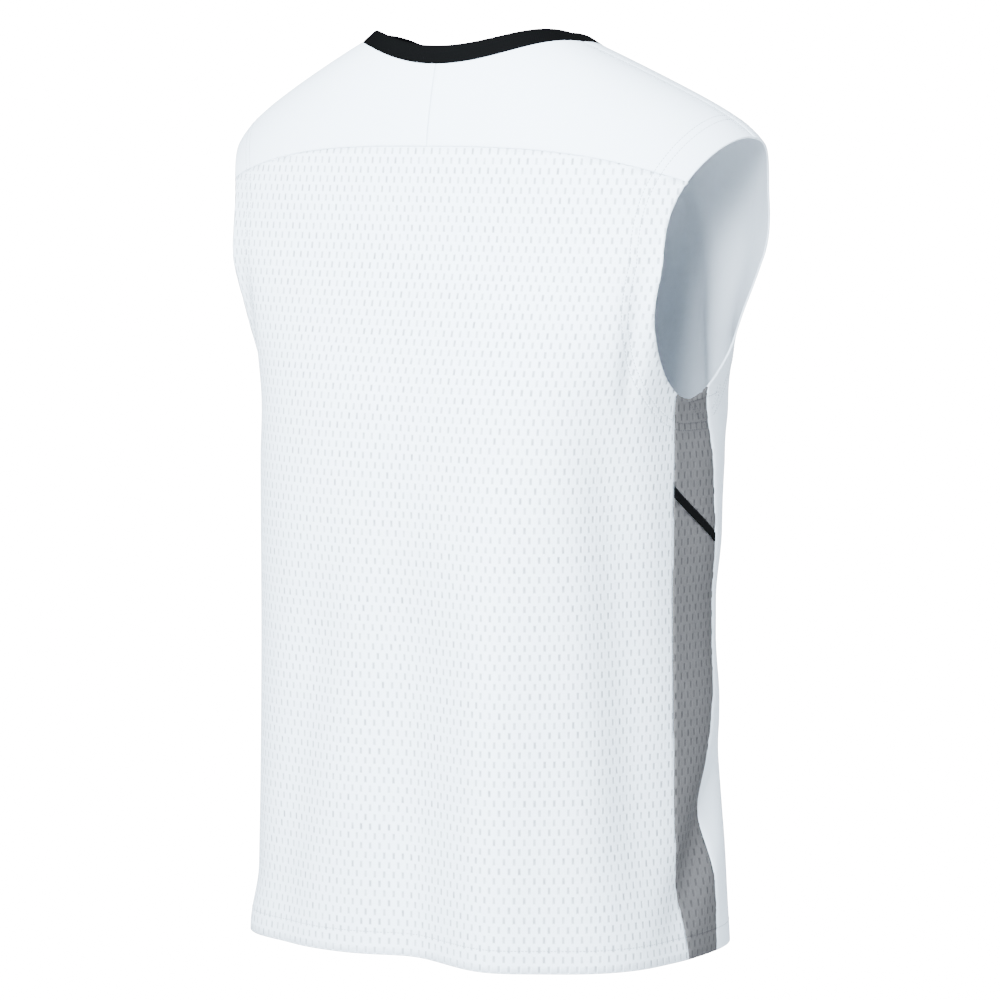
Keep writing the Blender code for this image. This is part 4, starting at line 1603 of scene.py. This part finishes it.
@dataclass
class Stitching(Piece):
    """Rows of raised stitches: double rows round the armholes and along the shoulders, one row above the hem."""

    on_side_panels: bool = False
    pitch: float = 0.0028
    stitch: Triple = (0.0022, 0.0007, 0.0005)
    shoulder_rows: Pair = (0.0015, 0.0065)
    shoulder_columns: int = 60
    shoulder_clear: int = 2
    hem_places: int = 400

    def rows(self) -> list[Grid]:
        """Finds every row of stitches.

        Returns:
            The rows, as dense places.
        """
        lines, shell, ring = self.lines, self.shell, self.lines.armhole_ring
        points = lines.armhole_points
        along = np.roll(points, -1, axis=0) - np.roll(points, 1, axis=0)
        heading = np.cross(along, shell.outward(shell.smooth, *ring.T))
        found, ridge_at = [], len(ring) // 2 + 1
        for distance in ARMHOLE_ROWS:
            row = shell.walked(ring, heading, distance)
            for half in (row[:ridge_at], np.concatenate([row[ridge_at:], row[:1]])):
                found.append(half[half[:, 1] < 1.0])
        ridge = lines.shoulder_seam(Half.BACK, self.shoulder_columns)
        backward = np.broadcast_to((0.0, 1.0, 0.0), (len(ridge), 3))
        inner = slice(self.shoulder_clear, -self.shoulder_clear)
        found += [shell.walked(ridge, backward, distance)[inner] for distance in self.shoulder_rows]
        found += [mirrored(row) for row in found]
        hem = lines.hem_line(np.linspace(0.0, FULL_TURN, self.hem_places))
        return [*found, hem + (0.0, HEM_ROW)]

    def build(self) -> bpy.types.Object:
        """Sets the stitches of one thread, at even steps along the rows.

        Returns:
            The piece.
        """
        bm, stitch, shell = bmesh.new(), self.one_stitch(), self.shell
        for row in self.rows():
            run = run_along(shell.folded(*row.T))
            stops = np.arange(self.pitch, run[-1], self.pitch)
            start, middle, end = (
                places(*(np.interp(stops + shift * self.pitch, run, values) for values in row.T))
                for shift in (-0.25, 0.0, 0.25)
            )
            outward = shell.outward(shell.folded, *middle.T)
            along = shell.folded(*end.T) - shell.folded(*start.T)
            here = self.lines.on_side_panel(middle) == self.on_side_panels
            for centre, ahead, out in zip(shell.folded(*middle.T)[here], along[here], outward[here]):
                laid = stitch.copy()
                laid.transform(self.placed(Vector(centre), Vector(ahead).normalized(), Vector(out)))
                bm.from_mesh(laid)
                bpy.data.meshes.remove(laid)
        bpy.data.meshes.remove(stitch)
        return self.object_from(bm)

    def one_stitch(self) -> bpy.types.Mesh:
        """One stitch of unit size.

        Returns:
            Its mesh.
        """
        bm = bmesh.new()
        bm.loops.layers.uv.new("cloth")
        bmesh.ops.create_uvsphere(bm, u_segments=6, v_segments=4, radius=0.5, calc_uvs=True)
        return mesh_from(bm, "stitch")

    def placed(self, centre: Vector, ahead: Vector, out: Vector) -> Matrix:
        """Where a stitch lies, half sunk in the cloth.

        Args:
            centre: its middle.
            ahead: the direction that it runs in.
            out: the direction that the cloth faces.

        Returns:
            The transform of the unit stitch.
        """
        axes = [axis * size for axis, size in zip((ahead, out.cross(ahead), out), self.stitch)]
        rows = [[*(axis[row] for axis in axes), centre[row]] for row in range(3)]
        return Matrix([*rows, [0.0, 0.0, 0.0, 1.0]])


@dataclass
class Studio:
    """Pale floor, soft light and the camera. Azimuths and elevations are in degrees."""

    focal_length: float = 147.024
    sensor_width: float = 36.0
    shift: Pair = (0.0175, -0.0133)
    viewpoint: Pair = (211.07, 5.37)
    target_height: float = -0.36
    distance: float = 3.267
    floor_height: float = -1.05
    floor_size: float = 12.0
    floor_colour: tuple[float, float, float, float] = (0.8, 0.8, 0.8, 1.0)
    light_colour: Triple = (0.80, 0.905, 1.0)
    light_distance: float = 2.0
    backdrop_strength: float = 20.0
    ambient: float = 0.20

    def aimed(self, name: str, data: bpy.types.ID, turn: Pair, height: float, distance: float) -> bpy.types.Object:
        """Puts a lamp or a lens in the scene, facing a height on the top's axis.

        Args:
            name: the object's name.
            data: the lamp or the lens.
            turn: azimuth and elevation that it looks from.
            height: the height that it faces.
            distance: how far away it stands.

        Returns:
            The object.
        """
        azimuth, elevation = (math.radians(angle) for angle in turn)
        flat = math.cos(elevation)
        toward = Vector((math.sin(azimuth) * flat, -math.cos(azimuth) * flat, math.sin(elevation)))
        made = linked(name, data)
        made.location = Vector((0.0, 0.0, height)) + toward * distance
        made.rotation_euler = (-toward).to_track_quat("-Z", "Y").to_euler()
        return made

    def add_camera(self) -> None:
        """Adds the camera at the photograph's viewing angle."""
        lens = bpy.data.cameras.new("camera")
        lens.sensor_width, lens.lens = self.sensor_width, self.focal_length
        lens.shift_x, lens.shift_y = self.shift
        camera = self.aimed("camera", lens, self.viewpoint, self.target_height, self.distance)
        bpy.context.scene.camera = camera

    def add_light(self, name: str, turn: Pair, height: float, size: float, power: float) -> None:
        """Adds a soft square light that faces the top and that the camera doesn't see.

        Args:
            name: the light's name.
            turn: azimuth and elevation that it comes from.
            height: height on the top's axis that it faces.
            size: length of its sides.
            power: its power.
        """
        lamp = bpy.data.lights.new(name, "AREA")
        lamp.shape, lamp.size = "SQUARE", size
        lamp.energy, lamp.color = power, self.light_colour
        self.aimed(name, lamp, turn, height, self.light_distance).visible_camera = False

    def white_to_camera(self, tree: bpy.types.NodeTree, shader: bpy.types.Node, kind: str) -> None:
        """Makes a surface or the sky plain white where the camera sees it, whatever light it gives.

        Args:
            tree: the node tree.
            shader: the shader that everything else sees.
            kind: node type of the white light.
        """
        target = next(link.to_socket for link in tree.links if link.from_node == shader)
        white = add_node(tree, kind, {"Strength": self.backdrop_strength, "Color": (1.0, 1.0, 1.0, 1.0)})
        seen = add_node(tree, "ShaderNodeLightPath", {}).outputs["Is Camera Ray"]
        mix = add_node(tree, "ShaderNodeMixShader", {0: seen, 1: shader.outputs[0], 2: white.outputs[0]})
        tree.links.new(mix.outputs[0], target)

    def add_floor(self) -> None:
        """Adds the plain pale floor."""
        bm = bmesh.new()
        bmesh.ops.create_grid(bm, x_segments=1, y_segments=1, size=self.floor_size)
        bmesh.ops.translate(bm, vec=(0.0, 0.0, self.floor_height), verts=bm.verts)
        floor = linked("floor", mesh_from(bm, "floor"))
        pale = bpy.data.materials.new("floor_white")
        pale.use_nodes = True
        shader = pale.node_tree.nodes["Principled BSDF"]
        plug(pale.node_tree, shader, {"Base Color": self.floor_colour, "Roughness": 0.9})
        self.white_to_camera(pale.node_tree, shader, "ShaderNodeEmission")
        floor.data.materials.append(pale)

    def build(self) -> None:
        """Adds the floor, the sky, the lights and the camera."""
        self.add_floor()
        world = bpy.data.worlds.new("studio")
        world.use_nodes = True
        sky = world.node_tree.nodes["Background"]
        plug(world.node_tree, sky, {"Color": (*self.light_colour, 1.0), "Strength": self.ambient})
        self.white_to_camera(world.node_tree, sky, "ShaderNodeBackground")
        bpy.context.scene.world = world
        self.add_light("key", (180.0, 31.0), height=-0.20, size=1.0, power=245.0)
        self.add_light("side", (203.0, 17.0), height=-0.15, size=0.45, power=135.0)
        self.add_light("front_fill", (335.0, 28.0), height=-0.30, size=0.7, power=62.0)
        self.add_camera()


def main() -> None:
    """Builds the top, its studio and the camera."""
    lines, cloths = CutLines(), Wardrobe()
    # The white pieces' inside faces take a darker, bluer white as painted shade.
    inside = cloths.white_inside
    builders = [
        BackPanel("back_mesh", ("back_panel",), cloths.mesh_white, lines, inside),
        FrontPanel("front_cloth", ("front_panel",), cloths.plain_white, lines, inside),
        Collar("collar_rib", ("collar",), cloths.rib_black, lines),
    ]
    for side in Side:
        word = side.name.lower()
        low, high = ("side_lower_" + word,), ("side_upper_" + word,)
        builders += [
            HalfYoke("yoke_cloth_" + word, ("yoke_" + word,), cloths.plain_white, lines, inside, side=side),
            SidePanel("side_mesh_low_" + word, low, cloths.mesh_grey, lines, side=side),
            SidePanel("side_mesh_high_" + word, high, cloths.mesh_grey, lines, side=side, upper=True),
            SideStripe("stripe_cloth_" + word, ("side_stripe_" + word,), cloths.plain_black, lines, side=side),
        ]
    builders += [
        Stitching("white_stitches", (), cloths.shaded_white_thread, lines),
        Stitching("grey_stitches", (), cloths.shaded_grey_thread, lines, on_side_panels=True),
    ]
    for builder in builders:
        piece = builder.build()
        LOG.info("%s: %d faces", piece.name, len(piece.data.polygons))
    Studio().build()


if __name__ == "__main__":
    logging.basicConfig(level=logging.INFO, format="%(message)s")
    main()
